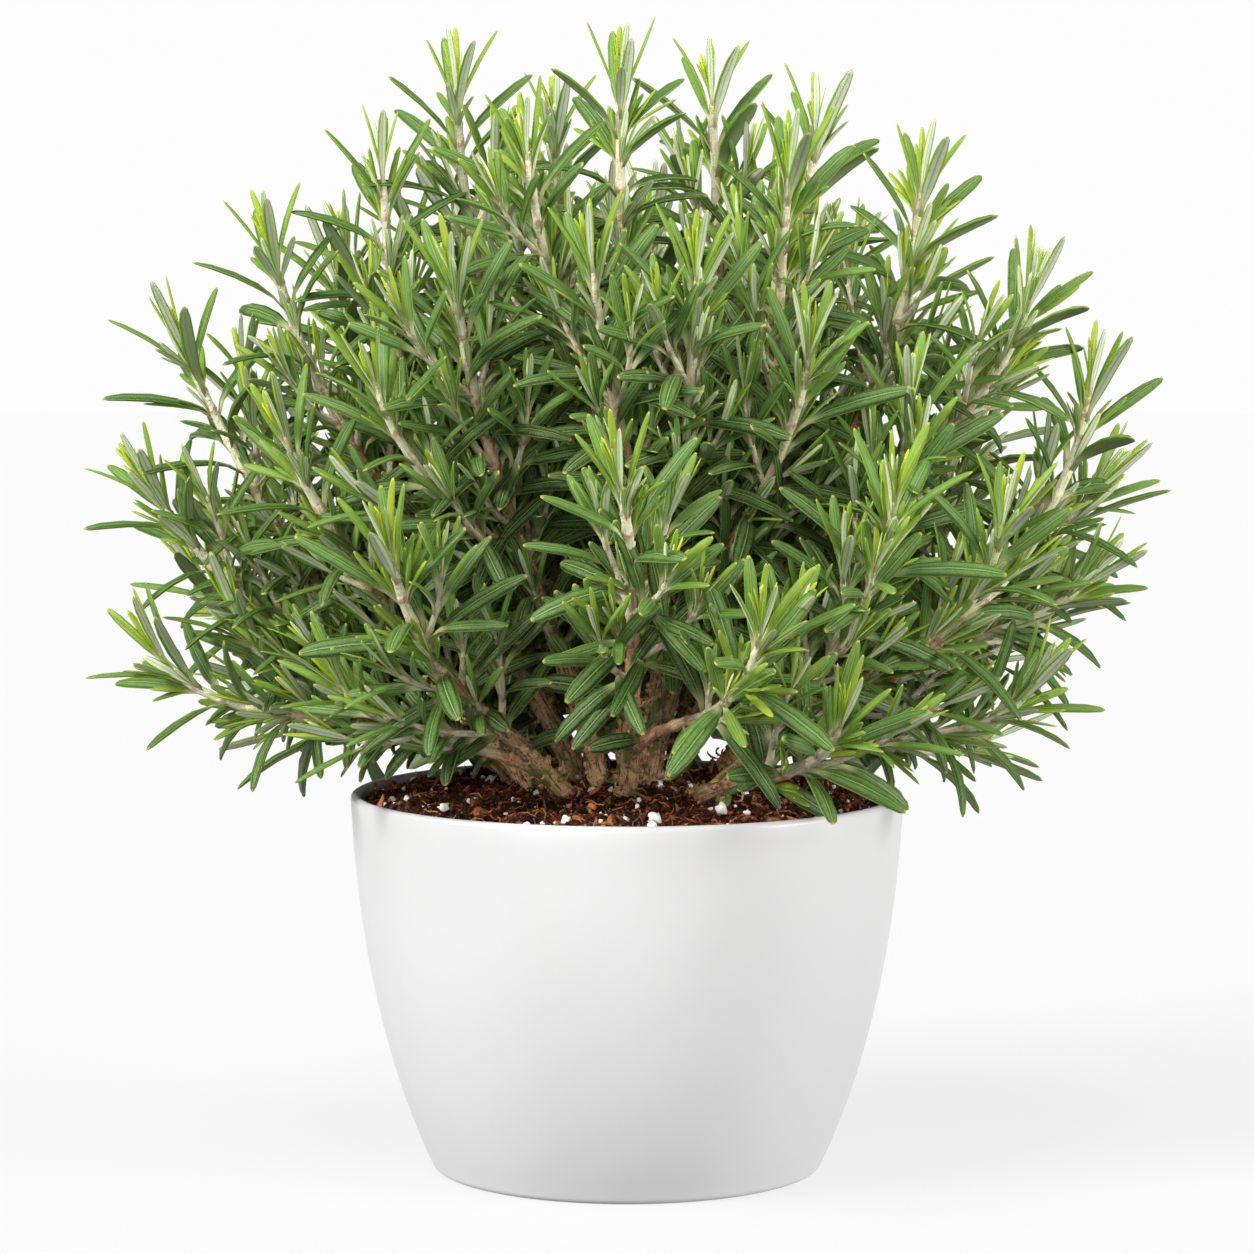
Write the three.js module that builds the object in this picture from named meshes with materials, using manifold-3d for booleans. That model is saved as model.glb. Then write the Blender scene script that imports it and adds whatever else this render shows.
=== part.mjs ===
// Potted rosemary: a white ceramic pot, the soil that fills it, and the boughs that stand
// in holes in the soil. Each bough forks into leafy stems, and its needle leaves are fused
// to them. Millimetres, +Z up, the origin in the middle of the foot that the pot rests on,
// the side with the fullest stems towards -Y.

import * as THREE from 'three';
import { ConvexGeometry } from 'three/addons/geometries/ConvexGeometry.js';
import { mergeVertices } from 'three/addons/utils/BufferGeometryUtils.js';
import Module from 'manifold-3d';

const wasm = await Module();
wasm.setup();

// ---------------------------------------------------------------- driving dimensions

// Pot
const POT_HEIGHT = 113;
const RIM_RADIUS = 82.5;
const FOOT_RADIUS = 58;
const FOOT_FILLET = 2.6;
const WALL = 3;
const POT_FLOOR = 5;
const FLOOR_RADIUS = 54; // of the flat inside the pot
const POT_SIDES = 40;

// Soil
const SOIL_GAP = 0.6; // between it and the inside of the pot
const SOIL_EDGE = 109; // its height along the pot's wall
const SOIL_MOUND = 6.6; // how much higher it stands in the middle
const SOIL_GRAIN = 0.9; // height of its lumps
const HOLE_DEPTH = 15; // how deep a bough stands in it
const HOLE_GAP = 0.7; // how much wider a bough's hole is than the bough, all round

// Boughs: seats lie on rings round the middle of the crown
const SEAT_SPACING = 11;
const BOUGH_RADIUS = 3.9; // at the foot of a bough
const TWIG_RADIUS = 1.25; // just below a tip
const STEM_STEP = 40; // length of a stem between two of its rings
const BOUGH_SIDES = 5;
const TWIG_SIDES = 4;
const FORK_SHARE = 0.7; // a side stem's radius, as a share of its bough's at the fork

// Needle leaves
const LEAF_LENGTH = 30;
const LEAF_WIDTH = 4.8;
const LEAF_KEEL = 2.2; // how far its keel lies below its edges
const TIP_LEAVES = 16; // how far the youngest leaves reach beyond the wood
const LEAF_SPACING = 15; // between two pairs on a grown stem
const LEAF_CLEARANCE = 0.55; // to everything that is another piece
const SEED = 20260;

// ---------------------------------------------------------------- the boughs
// seat: ring and turn (degrees) of the bough's foot in the crown. rise: how steeply it
// leaves the soil (degrees). Each stem: its tip, how far the tip leans along X and Y for
// each unit of height, and, for a side stem, the share of the first stem's length at
// which it forks off. early and late set how long the stem keeps its first and last
// heading, as a share of its span.

const BOUGHS = [
  { name: 'bough_middle', seat: [0, 0], rise: 88, stems: [
    { tip: [-2, 5, 340], lean: [0, 0] },
    { tip: [-31, -30, 319], lean: [-0.12, -0.05], fork: 0.4 },
    { tip: [-22, 58, 328], lean: [0, 0.1], fork: 0.3 },
  ] },
  { name: 'bough_right_top', seat: [1, 0], rise: 82, stems: [
    { tip: [88, 0, 310], lean: [0.06, 0] },
    { tip: [48, -35, 313], lean: [0.08, -0.1], fork: 0.3 },
    { tip: [123, -8, 277], lean: [0.26, 0], fork: 0.38 },
  ] },
  { name: 'bough_right_top_back', seat: [1, 60], rise: 84, stems: [
    { tip: [59, 60, 327], lean: [0.06, 0.15] },
    { tip: [25, 36, 337], lean: [-0.04, 0.05], fork: 0.35 },
    { tip: [92, 58, 286], lean: [0.2, 0.15], fork: 0.4 },
  ] },
  { name: 'bough_left_top_back', seat: [1, 120], rise: 84, stems: [
    { tip: [-52, 28, 338], lean: [-0.04, 0.05] },
    { tip: [-38, 84, 306], lean: [-0.05, 0.25], fork: 0.36 },
  ] },
  { name: 'bough_left_top', seat: [1, 180], rise: 80, stems: [
    { tip: [-109, 5, 290], lean: [-0.22, 0] },
    { tip: [-74, 12, 315], lean: [-0.06, 0], fork: 0.38 },
    { tip: [-93, 52, 284], lean: [-0.2, 0.15], fork: 0.42 },
  ] },
  { name: 'bough_front_left_top', seat: [1, 240], rise: 80, stems: [
    { tip: [-51, -60, 281], lean: [-0.12, -0.22] },
    { tip: [-76, -64, 252], lean: [-0.3, -0.25], fork: 0.4 },
  ] },
  { name: 'bough_front_top', seat: [1, 300], rise: 82, stems: [
    { tip: [20, -70, 284], lean: [0.03, -0.2] },
    { tip: [-11, -72, 286], lean: [-0.08, -0.25], fork: 0.34 },
    { tip: [53, -65, 262], lean: [0.1, -0.25], fork: 0.3 },
  ] },
  { name: 'bough_right', seat: [2, 0], rise: 66, stems: [
    { tip: [140, 10, 250], lean: [0.1, 0.05] },
    { tip: [153, 32, 217], lean: [0.7, 0.1], fork: 0.42 },
    { tip: [148, 2, 190], lean: [0.75, 0], fork: 0.3, late: 0.25 },
  ] },
  { name: 'bough_front_right', seat: [2, 330], rise: 66, stems: [
    { tip: [110, -60, 214], lean: [0.16, -0.25] },
    { tip: [82, -45, 248], lean: [0.04, -0.15], fork: 0.3 },
    { tip: [126, -27, 162], lean: [0.5, -0.1], fork: 0.2, late: 0.3 },
  ] },
  { name: 'bough_front_right_low', seat: [2, 300], rise: 68, stems: [
    { tip: [63, -106, 159], lean: [0.25, -0.5], late: 0.3 },
    { tip: [76, -85, 221], lean: [0.08, -0.35], fork: 0.28, early: 0.2 },
  ] },
  { name: 'bough_front', seat: [2, 270], rise: 66, stems: [
    { tip: [-4, -113, 226], lean: [-0.15, -0.4] },
    { tip: [38, -123, 186], lean: [0.1, -0.55], fork: 0.22 },
  ] },
  { name: 'bough_front_left', seat: [2, 240], rise: 64, stems: [
    { tip: [-68, -95, 206], lean: [-0.15, -0.4] },
    { tip: [-90, -62, 164], lean: [-0.6, -0.35], fork: 0.2, late: 0.3 },
  ] },
  { name: 'bough_left_low', seat: [2, 210], rise: 62, stems: [
    { tip: [-105, -40, 236], lean: [-0.4, -0.15] },
    { tip: [-145, -24, 171], lean: [-0.55, -0.1], fork: 0.17, late: 0.3 },
  ] },
  { name: 'bough_left', seat: [2, 180], rise: 66, stems: [
    { tip: [-150, 0, 218], lean: [-0.6, 0] },
    { tip: [-140, 12, 261], lean: [-0.45, 0.05], fork: 0.34 },
    { tip: [-120, -8, 182], lean: [-0.3, -0.05], fork: 0.26 },
  ] },
  { name: 'bough_back_left', seat: [2, 150], rise: 66, stems: [
    { tip: [-118, 64, 238], lean: [-0.3, 0.2] },
    { tip: [-140, 50, 188], lean: [-0.6, 0.25], fork: 0.3 },
    { tip: [-116, 74, 142], lean: [-0.7, 0.5], fork: 0.18, late: 0.25 },
  ] },
  { name: 'bough_back_left_top', seat: [2, 120], rise: 70, stems: [
    { tip: [-72, 99, 258], lean: [-0.15, 0.35] },
    { tip: [-88, 114, 190], lean: [-0.35, 0.5], fork: 0.28 },
    { tip: [-52, 130, 142], lean: [-0.2, 0.7], fork: 0.18, late: 0.25 },
  ] },
  { name: 'bough_back', seat: [2, 90], rise: 70, stems: [
    { tip: [8, 94, 300], lean: [0, 0.25] },
    { tip: [-26, 136, 204], lean: [-0.1, 0.5], fork: 0.28 },
    { tip: [14, 140, 144], lean: [0.1, 0.7], fork: 0.18, late: 0.25 },
  ] },
  { name: 'bough_back_right_top', seat: [2, 60], rise: 70, stems: [
    { tip: [54, 102, 270], lean: [0.15, 0.3] },
    { tip: [46, 130, 204], lean: [0.1, 0.5], fork: 0.3 },
    { tip: [78, 118, 150], lean: [0.4, 0.6], fork: 0.19, late: 0.25 },
  ] },
  { name: 'bough_back_right', seat: [2, 30], rise: 66, stems: [
    { tip: [116, 66, 242], lean: [0.25, 0.15] },
    { tip: [96, 98, 210], lean: [0.3, 0.4], fork: 0.32 },
    { tip: [140, 58, 184], lean: [0.5, 0.2], fork: 0.26 },
    { tip: [124, 74, 136], lean: [0.7, 0.5], fork: 0.17, late: 0.25 },
  ] },
];

// ---------------------------------------------------------------- solids

/** A closed geometry as a solid, turned right side out if its faces point inwards. */
function solidOf(geometry) {
  geometry.deleteAttribute('normal');
  geometry.deleteAttribute('uv');
  const merged = mergeVertices(geometry, 1e-4);
  const corners = Array.from(merged.index.array);
  const faces = [];
  for (let i = 0; i < corners.length; i += 3) {
    const [a, b, c] = corners.slice(i, i + 3);
    if (a !== b && b !== c && c !== a) faces.push(a, b, c);
  }
  const build = (triVerts) => new wasm.Manifold(new wasm.Mesh({
    numProp: 3,
    vertProperties: new Float32Array(merged.attributes.position.array),
    triVerts: new Uint32Array(triVerts),
  }));
  const solid = build(faces);
  return solid.volume() > 0 ? solid : build(faces.reverse());
}

/** A solid as a geometry for a mesh. */
function geometryOf(solid) {
  const mesh = solid.getMesh();
  const geometry = new THREE.BufferGeometry();
  geometry.setAttribute('position', new THREE.BufferAttribute(mesh.vertProperties, 3));
  geometry.setIndex(new THREE.BufferAttribute(mesh.triVerts, 1));
  geometry.computeVertexNormals();
  return geometry;
}

/** A solid turned about Z from a profile of [radius, height] points, axis to axis. */
function turned(profile, sides) {
  const points = profile.map(([radius, height]) => new THREE.Vector2(radius, height));
  return new THREE.LatheGeometry(points, sides).rotateX(Math.PI / 2);
}

/** Places every vertex of a geometry at shift(x, y, z). */
function reshaped(geometry, shift) {
  const place = geometry.attributes.position;
  for (let i = 0; i < place.count; i += 1) {
    const moved = shift(place.getX(i), place.getY(i), place.getZ(i));
    place.setXYZ(i, moved.x, moved.y, moved.z);
  }
  return geometry;
}

// ---------------------------------------------------------------- pot and soil

const INSIDE_BENDS = [68, 27]; // heights at which the inside of the wall changes its slope
const SOIL_TOP = SOIL_EDGE + 1; // height of the soil's flat top before it gets its relief

// The outside of the pot's wall, from the top of the foot fillet to below the rim
const wallLine = new THREE.CubicBezierCurve(
  new THREE.Vector2(FOOT_RADIUS + 1.1, FOOT_FILLET),
  new THREE.Vector2(FOOT_RADIUS + 17, 0.34 * POT_HEIGHT),
  new THREE.Vector2(RIM_RADIUS - 1.9, 0.66 * POT_HEIGHT),
  new THREE.Vector2(RIM_RADIUS, POT_HEIGHT - WALL / 2),
);

/** The pot's outer radius at a height. */
function wallRadius(height) {
  const line = wallLine.getPoints(60);
  const above = line.findIndex((point) => point.y > height);
  if (above < 1) return above === 0 ? line[0].x : RIM_RADIUS;
  const [low, high] = [line[above - 1], line[above]];
  return THREE.MathUtils.mapLinear(height, low.y, high.y, low.x, high.x);
}

function potGeometry() {
  const outside = wallLine.getPoints(6).map((point) => [point.x, point.y]);
  const rim = [45, 90, 135, 180].map((turn) => {
    const angle = THREE.MathUtils.degToRad(turn);
    return [
      RIM_RADIUS - WALL / 2 + (WALL / 2) * Math.cos(angle),
      POT_HEIGHT - WALL / 2 + (WALL / 2) * Math.sin(angle),
    ];
  });
  const inside = INSIDE_BENDS.map((height) => [wallRadius(height) - WALL, height]);
  const profile = [
    [0, 0], [FOOT_RADIUS - 2, 0], [FOOT_RADIUS, 0.9],
    ...outside, ...rim, ...inside,
    [FLOOR_RADIUS, POT_FLOOR], [0, POT_FLOOR],
  ];
  return geometryOf(solidOf(turned(profile, POT_SIDES)));
}

/** Height of the soil's surface at x, y: a low mound with lumps. */
function soilHeight(x, y) {
  const share = Math.min(1, Math.hypot(x, y) / (RIM_RADIUS - WALL));
  const mound = SOIL_MOUND * Math.cos(share * Math.PI / 2);
  const lumps = Math.sin(x * 0.31 + 1.3 * Math.sin(y * 0.17)) * Math.cos(y * 0.27 - 0.9 * Math.sin(x * 0.13));
  return SOIL_EDGE + mound + SOIL_GRAIN * lumps * (1 - share ** 6);
}

function soilGeometry(holes) {
  const edge = (height) => [wallRadius(height) - WALL - SOIL_GAP, height];
  const profile = [
    [0, POT_FLOOR + SOIL_GAP], [FLOOR_RADIUS - 1.5, POT_FLOOR + SOIL_GAP],
    ...INSIDE_BENDS.toReversed().map(edge), edge(SOIL_EDGE),
    [62, SOIL_TOP], [36, SOIL_TOP], [0, SOIL_TOP],
  ];
  const relief = reshaped(turned(profile, POT_SIDES), (x, y, z) => (
    Math.abs(z - SOIL_TOP) < 0.01 ? new THREE.Vector3(x, y, soilHeight(x, y)) : new THREE.Vector3(x, y, z)
  ));
  return geometryOf(solidOf(relief).subtract(wasm.Manifold.union(holes)));
}

// ---------------------------------------------------------------- stems

const upright = (lean) => new THREE.Vector3(lean[0], lean[1], 1).normalize();

/** A stem: the places of its rings from where it starts to its end, its headings there, its girth. */
function stemAlong(start, heading, { tip, lean, early = 0.3, late = 0.42 }, from, sides) {
  const end = new THREE.Vector3(...tip).addScaledVector(upright(lean), -TIP_LEAVES);
  const span = start.distanceTo(end);
  const line = new THREE.CubicBezierCurve3(
    start,
    start.clone().addScaledVector(heading, span * early),
    end.clone().addScaledVector(upright(lean), -span * late),
    end,
  );
  const length = line.getLength();
  const steps = Math.max(2, Math.round(length / STEM_STEP));
  const headings = Array.from({ length: steps + 1 }, (_, station) => line.getTangentAt(station / steps));
  return { places: line.getSpacedPoints(steps), headings, length, steps, from, to: TWIG_RADIUS, sides };
}

/** The middle of a stem, its heading and its radius at a share of its length. */
function spotOn(stem, share) {
  const station = Math.min(Math.floor(share * stem.steps), stem.steps - 1);
  const past = share * stem.steps - station;
  return {
    place: stem.places[station].clone().lerp(stem.places[station + 1], past),
    heading: stem.headings[station].clone().lerp(stem.headings[station + 1], past).normalize(),
    radius: THREE.MathUtils.lerp(stem.from, stem.to, share ** 0.58),
  };
}

/** Every stem of a bough: the first from its foot in the soil, the others from forks on it. */
function stemsOf({ seat: [ring, turn], rise, stems: [first, ...forks] }) {
  const angle = THREE.MathUtils.degToRad(turn);
  const climb = THREE.MathUtils.degToRad(rise);
  const foot = new THREE.Vector3(Math.cos(angle), Math.sin(angle), 0).multiplyScalar(ring * SEAT_SPACING);
  const away = new THREE.Vector3(...first.tip).sub(foot).setZ(0).normalize();
  foot.z = soilHeight(foot.x, foot.y) - HOLE_DEPTH;
  const heading = away.multiplyScalar(Math.cos(climb)).setZ(Math.sin(climb));
  const main = stemAlong(foot, heading, first, BOUGH_RADIUS, BOUGH_SIDES);
  const sides = forks.map((stem) => {
    const spot = spotOn(main, stem.fork);
    const towards = new THREE.Vector3(...stem.tip).sub(spot.place).normalize();
    return stemAlong(
      spot.place, spot.heading.lerp(towards, 0.45).normalize(), stem, FORK_SHARE * spot.radius, TWIG_SIDES,
    );
  });
  return [main, ...sides];
}

/** A tapering tube through a stem's first rings; extra makes it fatter and reaches below its foot. */
function stemSolid(stem, steps = stem.steps, extra = 0) {
  const tube = new THREE.CylinderGeometry(1, 1, 1, stem.sides, steps);
  const below = stem.places[0].clone().sub(stem.places[1]).setLength(extra);
  let side = new THREE.Vector3(0, 1, 0);
  const rings = Array.from({ length: steps + 1 }, (_, station) => {
    const { place, heading, radius } = spotOn(stem, station / stem.steps);
    side = side.clone().addScaledVector(heading, -side.dot(heading)).setLength(radius + extra);
    return { middle: station === 0 ? place.add(below) : place, side, front: heading.cross(side) };
  });
  return solidOf(reshaped(tube, (x, y, z) => {
    const { middle, side: right, front } = rings[Math.round((y + 0.5) * steps)];
    return middle.clone().addScaledVector(right, x).addScaledVector(front, z);
  }));
}

// ---------------------------------------------------------------- needle leaves

/** A repeatable source of numbers from 0 to 1. */
function randomFrom(seed) {
  let state = seed;
  return () => {
    state = (state + 0x6d2b79f5) | 0;
    let mixed = Math.imul(state ^ (state >>> 15), 1 | state);
    mixed = (mixed + Math.imul(mixed ^ (mixed >>> 7), 61 | mixed)) ^ mixed;
    return ((mixed ^ (mixed >>> 14)) >>> 0) / 4294967296;
  };
}

const random = randomFrom(SEED);
const between = (low, high) => low + (high - low) * random();

/** The middle of a leaf at its root, its widest place and its tip. */
function leafPlaces({ root, heading, up, length, size }) {
  const wide = root.clone().addScaledVector(heading, 0.45 * length).addScaledVector(up, LEAF_KEEL * size);
  const tip = root.clone().addScaledVector(heading, length);
  return { root, wide, tip };
}

/** A needle leaf: three-sided all along, its two edges raised above a straight keel. */
function leafSolid(leaf) {
  const { root, wide, tip } = leafPlaces(leaf);
  const across = leaf.heading.clone().cross(leaf.up).setLength(LEAF_WIDTH * leaf.size / 2);
  return solidOf(new ConvexGeometry([root, tip, wide.clone().add(across), wide.clone().sub(across)]));
}

/** Shortest distance between two straight rods, less their thickness there. */
function rodGap(a, b) {
  const along = a.to.clone().sub(a.from);
  const other = b.to.clone().sub(b.from);
  const offset = a.from.clone().sub(b.from);
  const aa = along.dot(along);
  const bb = other.dot(other);
  const ab = along.dot(other);
  const ao = along.dot(offset);
  const bo = other.dot(offset);
  const spread = aa * bb - ab * ab;
  let s = spread > 1e-9 ? THREE.MathUtils.clamp((ab * bo - ao * bb) / spread, 0, 1) : 0;
  const t = THREE.MathUtils.clamp((ab * s + bo) / bb, 0, 1);
  s = THREE.MathUtils.clamp((ab * t - ao) / aa, 0, 1);
  const near = a.from.clone().addScaledVector(along, s);
  const far = b.from.clone().addScaledVector(other, t);
  const thick = THREE.MathUtils.lerp(a.start, a.end, s) + THREE.MathUtils.lerp(b.start, b.end, t);
  return near.distanceTo(far) - thick;
}

function rod(from, to, start, end, owner, stalk) {
  return { from, to, start, end, owner, stalk, middle: from.clone().lerp(to, 0.5), reach: from.distanceTo(to) / 2 };
}

function rodsOfStem(stem, owner) {
  return Array.from({ length: stem.steps }, (_, station) => {
    const low = spotOn(stem, station / stem.steps);
    const high = spotOn(stem, (station + 1) / stem.steps);
    return rod(low.place, high.place, low.radius, high.radius, owner, true);
  });
}

function rodsOfLeaf(leaf, owner) {
  const { root, wide, tip } = leafPlaces(leaf);
  const girth = 0.55 * LEAF_WIDTH * leaf.size;
  return [rod(root, wide, 0.4, girth, owner, false), rod(wide, tip, girth, 0.2, owner, false)];
}

/** Whether a leaf stays above the soil and clear of the pot's rim. */
function clearOfPot(leaf) {
  const { root, wide, tip } = leafPlaces(leaf);
  return [root.clone().lerp(wide, 0.6), wide, wide.clone().lerp(tip, 0.5), tip].every((point) => {
    const radius = Math.hypot(point.x, point.y);
    if (radius > RIM_RADIUS + 5) return point.z > POT_HEIGHT - 12;
    if (radius > RIM_RADIUS - WALL - 5) return point.z > POT_HEIGHT + 4;
    return point.z > soilHeight(point.x, point.y) + 4;
  });
}

/** How well a leaf fits among what stands already: 0 blocked, 1 touches its own bough, 2 free. */
function fitOf(leaf, owner, rods) {
  if (!clearOfPot(leaf)) return 0;
  let fit = 2;
  for (const mine of rodsOfLeaf(leaf, owner)) {
    for (const other of rods) {
      const room = mine.reach + other.reach + 8;
      if (mine.middle.distanceToSquared(other.middle) > room * room) continue;
      const own = other.owner === owner;
      if (own && other.stalk) continue;
      const gap = rodGap(mine, other);
      if (!own && gap < LEAF_CLEARANCE) return 0;
      if (own && gap < 0 && other.from.distanceTo(leaf.root) > 3) fit = 1;
    }
  }
  return fit;
}

/** One leaf of a pair, turned, raised or shortened until it has room; null if it never has. */
function grownLeaf({ stem, share, turn, opening, length, size }, owner, rods) {
  const { place: root, heading: tangent } = spotOn(stem, share);
  const level = Math.abs(tangent.z) > 0.9 ? new THREE.Vector3(1, 0, 0) : new THREE.Vector3(0, 0, 1);
  const first = level.clone().addScaledVector(tangent, -level.dot(tangent)).normalize();
  const second = tangent.clone().cross(first);
  let touching = null;
  for (let attempt = 0; attempt < 14; attempt += 1) {
    const swing = attempt === 0 ? 0 : (attempt % 2 ? 1 : -1) * Math.ceil(attempt / 2) * 0.16;
    const open = THREE.MathUtils.degToRad(opening - 2.5 * attempt);
    const out = first.clone().multiplyScalar(Math.cos(turn + swing))
      .addScaledVector(second, Math.sin(turn + swing));
    const heading = tangent.clone().multiplyScalar(Math.cos(open)).addScaledVector(out, Math.sin(open));
    const up = tangent.clone().multiplyScalar(Math.sin(open)).addScaledVector(out, -Math.cos(open));
    const leaf = { root: root.clone().addScaledVector(out, 0.2), heading, up, size };
    leaf.length = length * (attempt > 8 ? 0.84 : 1);
    const fit = fitOf(leaf, owner, rods);
    if (fit === 2) return leaf;
    if (fit === 1 && !touching) touching = leaf;
  }
  return touching;
}

/** Where the pairs of leaves stand on a stem, counted down from its tip. */
function pairsOf(stem, isFirst) {
  const { length } = stem;
  const bare = isFirst ? HOLE_DEPTH + 0.27 * length : 20;
  const pairs = [];
  let below = 2.5;
  for (let index = 0; length - below > bare; index += 1) {
    const age = Math.min(1, index / 2.5);
    pairs.push({
      stem,
      share: 1 - below / length,
      turn: index * Math.PI / 2 + between(-0.25, 0.25) + 0.18 * index,
      opening: 19 + 49 * age ** 0.8 + between(-6, 8),
      length: LEAF_LENGTH * (0.66 + 0.34 * age) * between(0.93, 1.04),
      size: 0.74 + 0.26 * age,
    });
    below += LEAF_SPACING * (0.58 + 0.42 * age) * between(0.94, 1.08);
  }
  return pairs;
}

/** The leaves of every bough, grown from the tips downwards, a pair at a time. */
function growLeaves(grown) {
  const rods = grown.flatMap(({ stems }, owner) => stems.flatMap((stem) => rodsOfStem(stem, owner)));
  const queue = grown.flatMap(({ stems }, owner) => stems.flatMap((stem, place) => (
    pairsOf(stem, place === 0).map((pair, index) => ({ pair, owner, index }))
  )));
  queue.sort((a, b) => a.index - b.index);
  const leaves = grown.map(() => []);
  for (const { pair, owner } of queue) {
    for (const side of [0, Math.PI]) {
      const leaf = grownLeaf({ ...pair, turn: pair.turn + side }, owner, rods);
      if (!leaf) continue;
      leaves[owner].push(leaf);
      rods.push(...rodsOfLeaf(leaf, owner));
    }
  }
  return leaves;
}

// ---------------------------------------------------------------- the plant in its pot

const glaze = new THREE.MeshStandardMaterial({ color: 0xeeeeec, roughness: 0.45, metalness: 0 });
const earth = new THREE.MeshStandardMaterial({ color: 0x4a2f22, roughness: 0.95, metalness: 0 });
const leafGreen = 0x5f7d3c;

const plant = new THREE.Group();

function place(name, geometry, material) {
  const mesh = new THREE.Mesh(geometry, material);
  mesh.name = name;
  plant.add(mesh);
}

const grown = BOUGHS.map((bough) => ({ name: bough.name, stems: stemsOf(bough) }));
const foliage = growLeaves(grown);
const holes = grown.map(({ stems }) => stemSolid(stems[0], 1, HOLE_GAP));

place('pot', potGeometry(), glaze);
place('soil', soilGeometry(holes), earth);
grown.forEach(({ name, stems }, index) => {
  const solid = wasm.Manifold.union([
    ...stems.map((stem) => stemSolid(stem)),
    ...foliage[index].map(leafSolid),
  ]);
  const green = new THREE.MeshStandardMaterial({ color: leafGreen, roughness: 0.6, metalness: 0 });
  place(name, geometryOf(solid), green);
});

export default plant;
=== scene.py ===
# %% [markdown]
# # A potted rosemary plant
# This lesson dresses a plain solid model of a rosemary plant until it looks real. The solids
# fix every size and place: a white pot, the soil in it, and nineteen boughs that fork into
# leafy stems. They could simply be painted, but a bough of the solid model has only about
# forty coarse needles. Here each bough is grown again along the same lines, with bark, fine
# leaves and side shoots, and the soil gets its crumbs, fibres and white grains.

# %% Load the solid model
import functools
import math
import random

import bmesh
import bpy
import numpy as np
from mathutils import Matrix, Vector, geometry, kdtree, noise


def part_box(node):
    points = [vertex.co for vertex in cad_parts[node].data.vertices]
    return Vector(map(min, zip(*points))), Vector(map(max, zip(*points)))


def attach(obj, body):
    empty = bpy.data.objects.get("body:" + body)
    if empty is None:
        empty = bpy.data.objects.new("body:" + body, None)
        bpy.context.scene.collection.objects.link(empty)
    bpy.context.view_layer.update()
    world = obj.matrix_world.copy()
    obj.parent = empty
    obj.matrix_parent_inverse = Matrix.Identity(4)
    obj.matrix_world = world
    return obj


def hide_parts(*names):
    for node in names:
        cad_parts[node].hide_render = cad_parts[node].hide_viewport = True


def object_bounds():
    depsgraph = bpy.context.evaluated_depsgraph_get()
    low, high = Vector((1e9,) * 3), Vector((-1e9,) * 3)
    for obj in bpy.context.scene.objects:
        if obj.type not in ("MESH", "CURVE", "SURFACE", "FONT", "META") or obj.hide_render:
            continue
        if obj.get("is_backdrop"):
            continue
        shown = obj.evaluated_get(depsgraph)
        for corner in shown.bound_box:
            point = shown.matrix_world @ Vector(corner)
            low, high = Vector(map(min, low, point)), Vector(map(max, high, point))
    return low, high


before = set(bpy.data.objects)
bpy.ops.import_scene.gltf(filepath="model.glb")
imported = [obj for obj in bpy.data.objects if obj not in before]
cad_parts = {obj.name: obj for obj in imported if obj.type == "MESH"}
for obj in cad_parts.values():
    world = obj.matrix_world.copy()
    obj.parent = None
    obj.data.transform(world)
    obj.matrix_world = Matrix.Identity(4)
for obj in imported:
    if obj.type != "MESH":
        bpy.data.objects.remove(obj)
cad_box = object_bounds()
MM = 0.001  # Blender works in metres
SEED = 4127
dice = random.Random(SEED)
grain = np.random.default_rng(SEED)
noise.seed_set(SEED)  # or else noise_vector takes its seed from the clock
print("solids:", len(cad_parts))

# %% [markdown]
# ## Camera
# The photograph is square. The rim of the pot shows as a flat ellipse and its sides hardly
# converge, so it was taken with a long lens from a little above the rim. A long lens could
# be had by moving far away or by a narrow view; both are set here, and nothing is shifted.

# %% Camera
PHOTO_SIDE = 1254  # pixels
FOCAL_PIXELS = 4379
SENSOR = 36.0
CAMERA_BACK = 1300 * MM
CAMERA_HEIGHT = 275 * MM
CAMERA_DIP = math.radians(4.96)

camera = bpy.data.objects.new("camera", bpy.data.cameras.new("camera"))
camera.data.sensor_width = SENSOR
camera.data.lens = SENSOR * FOCAL_PIXELS / PHOTO_SIDE
camera.data.clip_end = 30
camera.location = (0, -CAMERA_BACK, CAMERA_HEIGHT)
camera.rotation_euler = (math.pi / 2 - CAMERA_DIP, 0, 0)
bpy.context.scene.collection.objects.link(camera)
bpy.context.scene.camera = camera
print("lens:", round(camera.data.lens, 1), "mm")

# %% [markdown]
# ## Shader helper
# A material is a graph of nodes. Graphs can be wired line by line, which is long and hard
# to read. Here a small class stands for an output socket and takes part in sums, so that
# `1 - mask * 0.5` adds its own Math nodes, and one method adds every other kind of node.


# %% Wires and finishes
class Wire:
    """An output of a shader node, which takes part in sums."""

    def __init__(self, finish, socket):
        self.finish = finish
        self.socket = socket

    def calculate(self, operation, first, second=0.0):
        return self.finish.add("ShaderNodeMath", {"operation": operation}, {0: first, 1: second})

    def __add__(self, other):
        return self.calculate("ADD", self, other)

    def __sub__(self, other):
        return self.calculate("SUBTRACT", self, other)

    def __rsub__(self, other):
        return self.calculate("SUBTRACT", other, self)

    def __mul__(self, other):
        return self.calculate("MULTIPLY", self, other)

    def __abs__(self):
        return self.calculate("ABSOLUTE", self)

    __radd__ = __add__
    __rmul__ = __mul__


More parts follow.
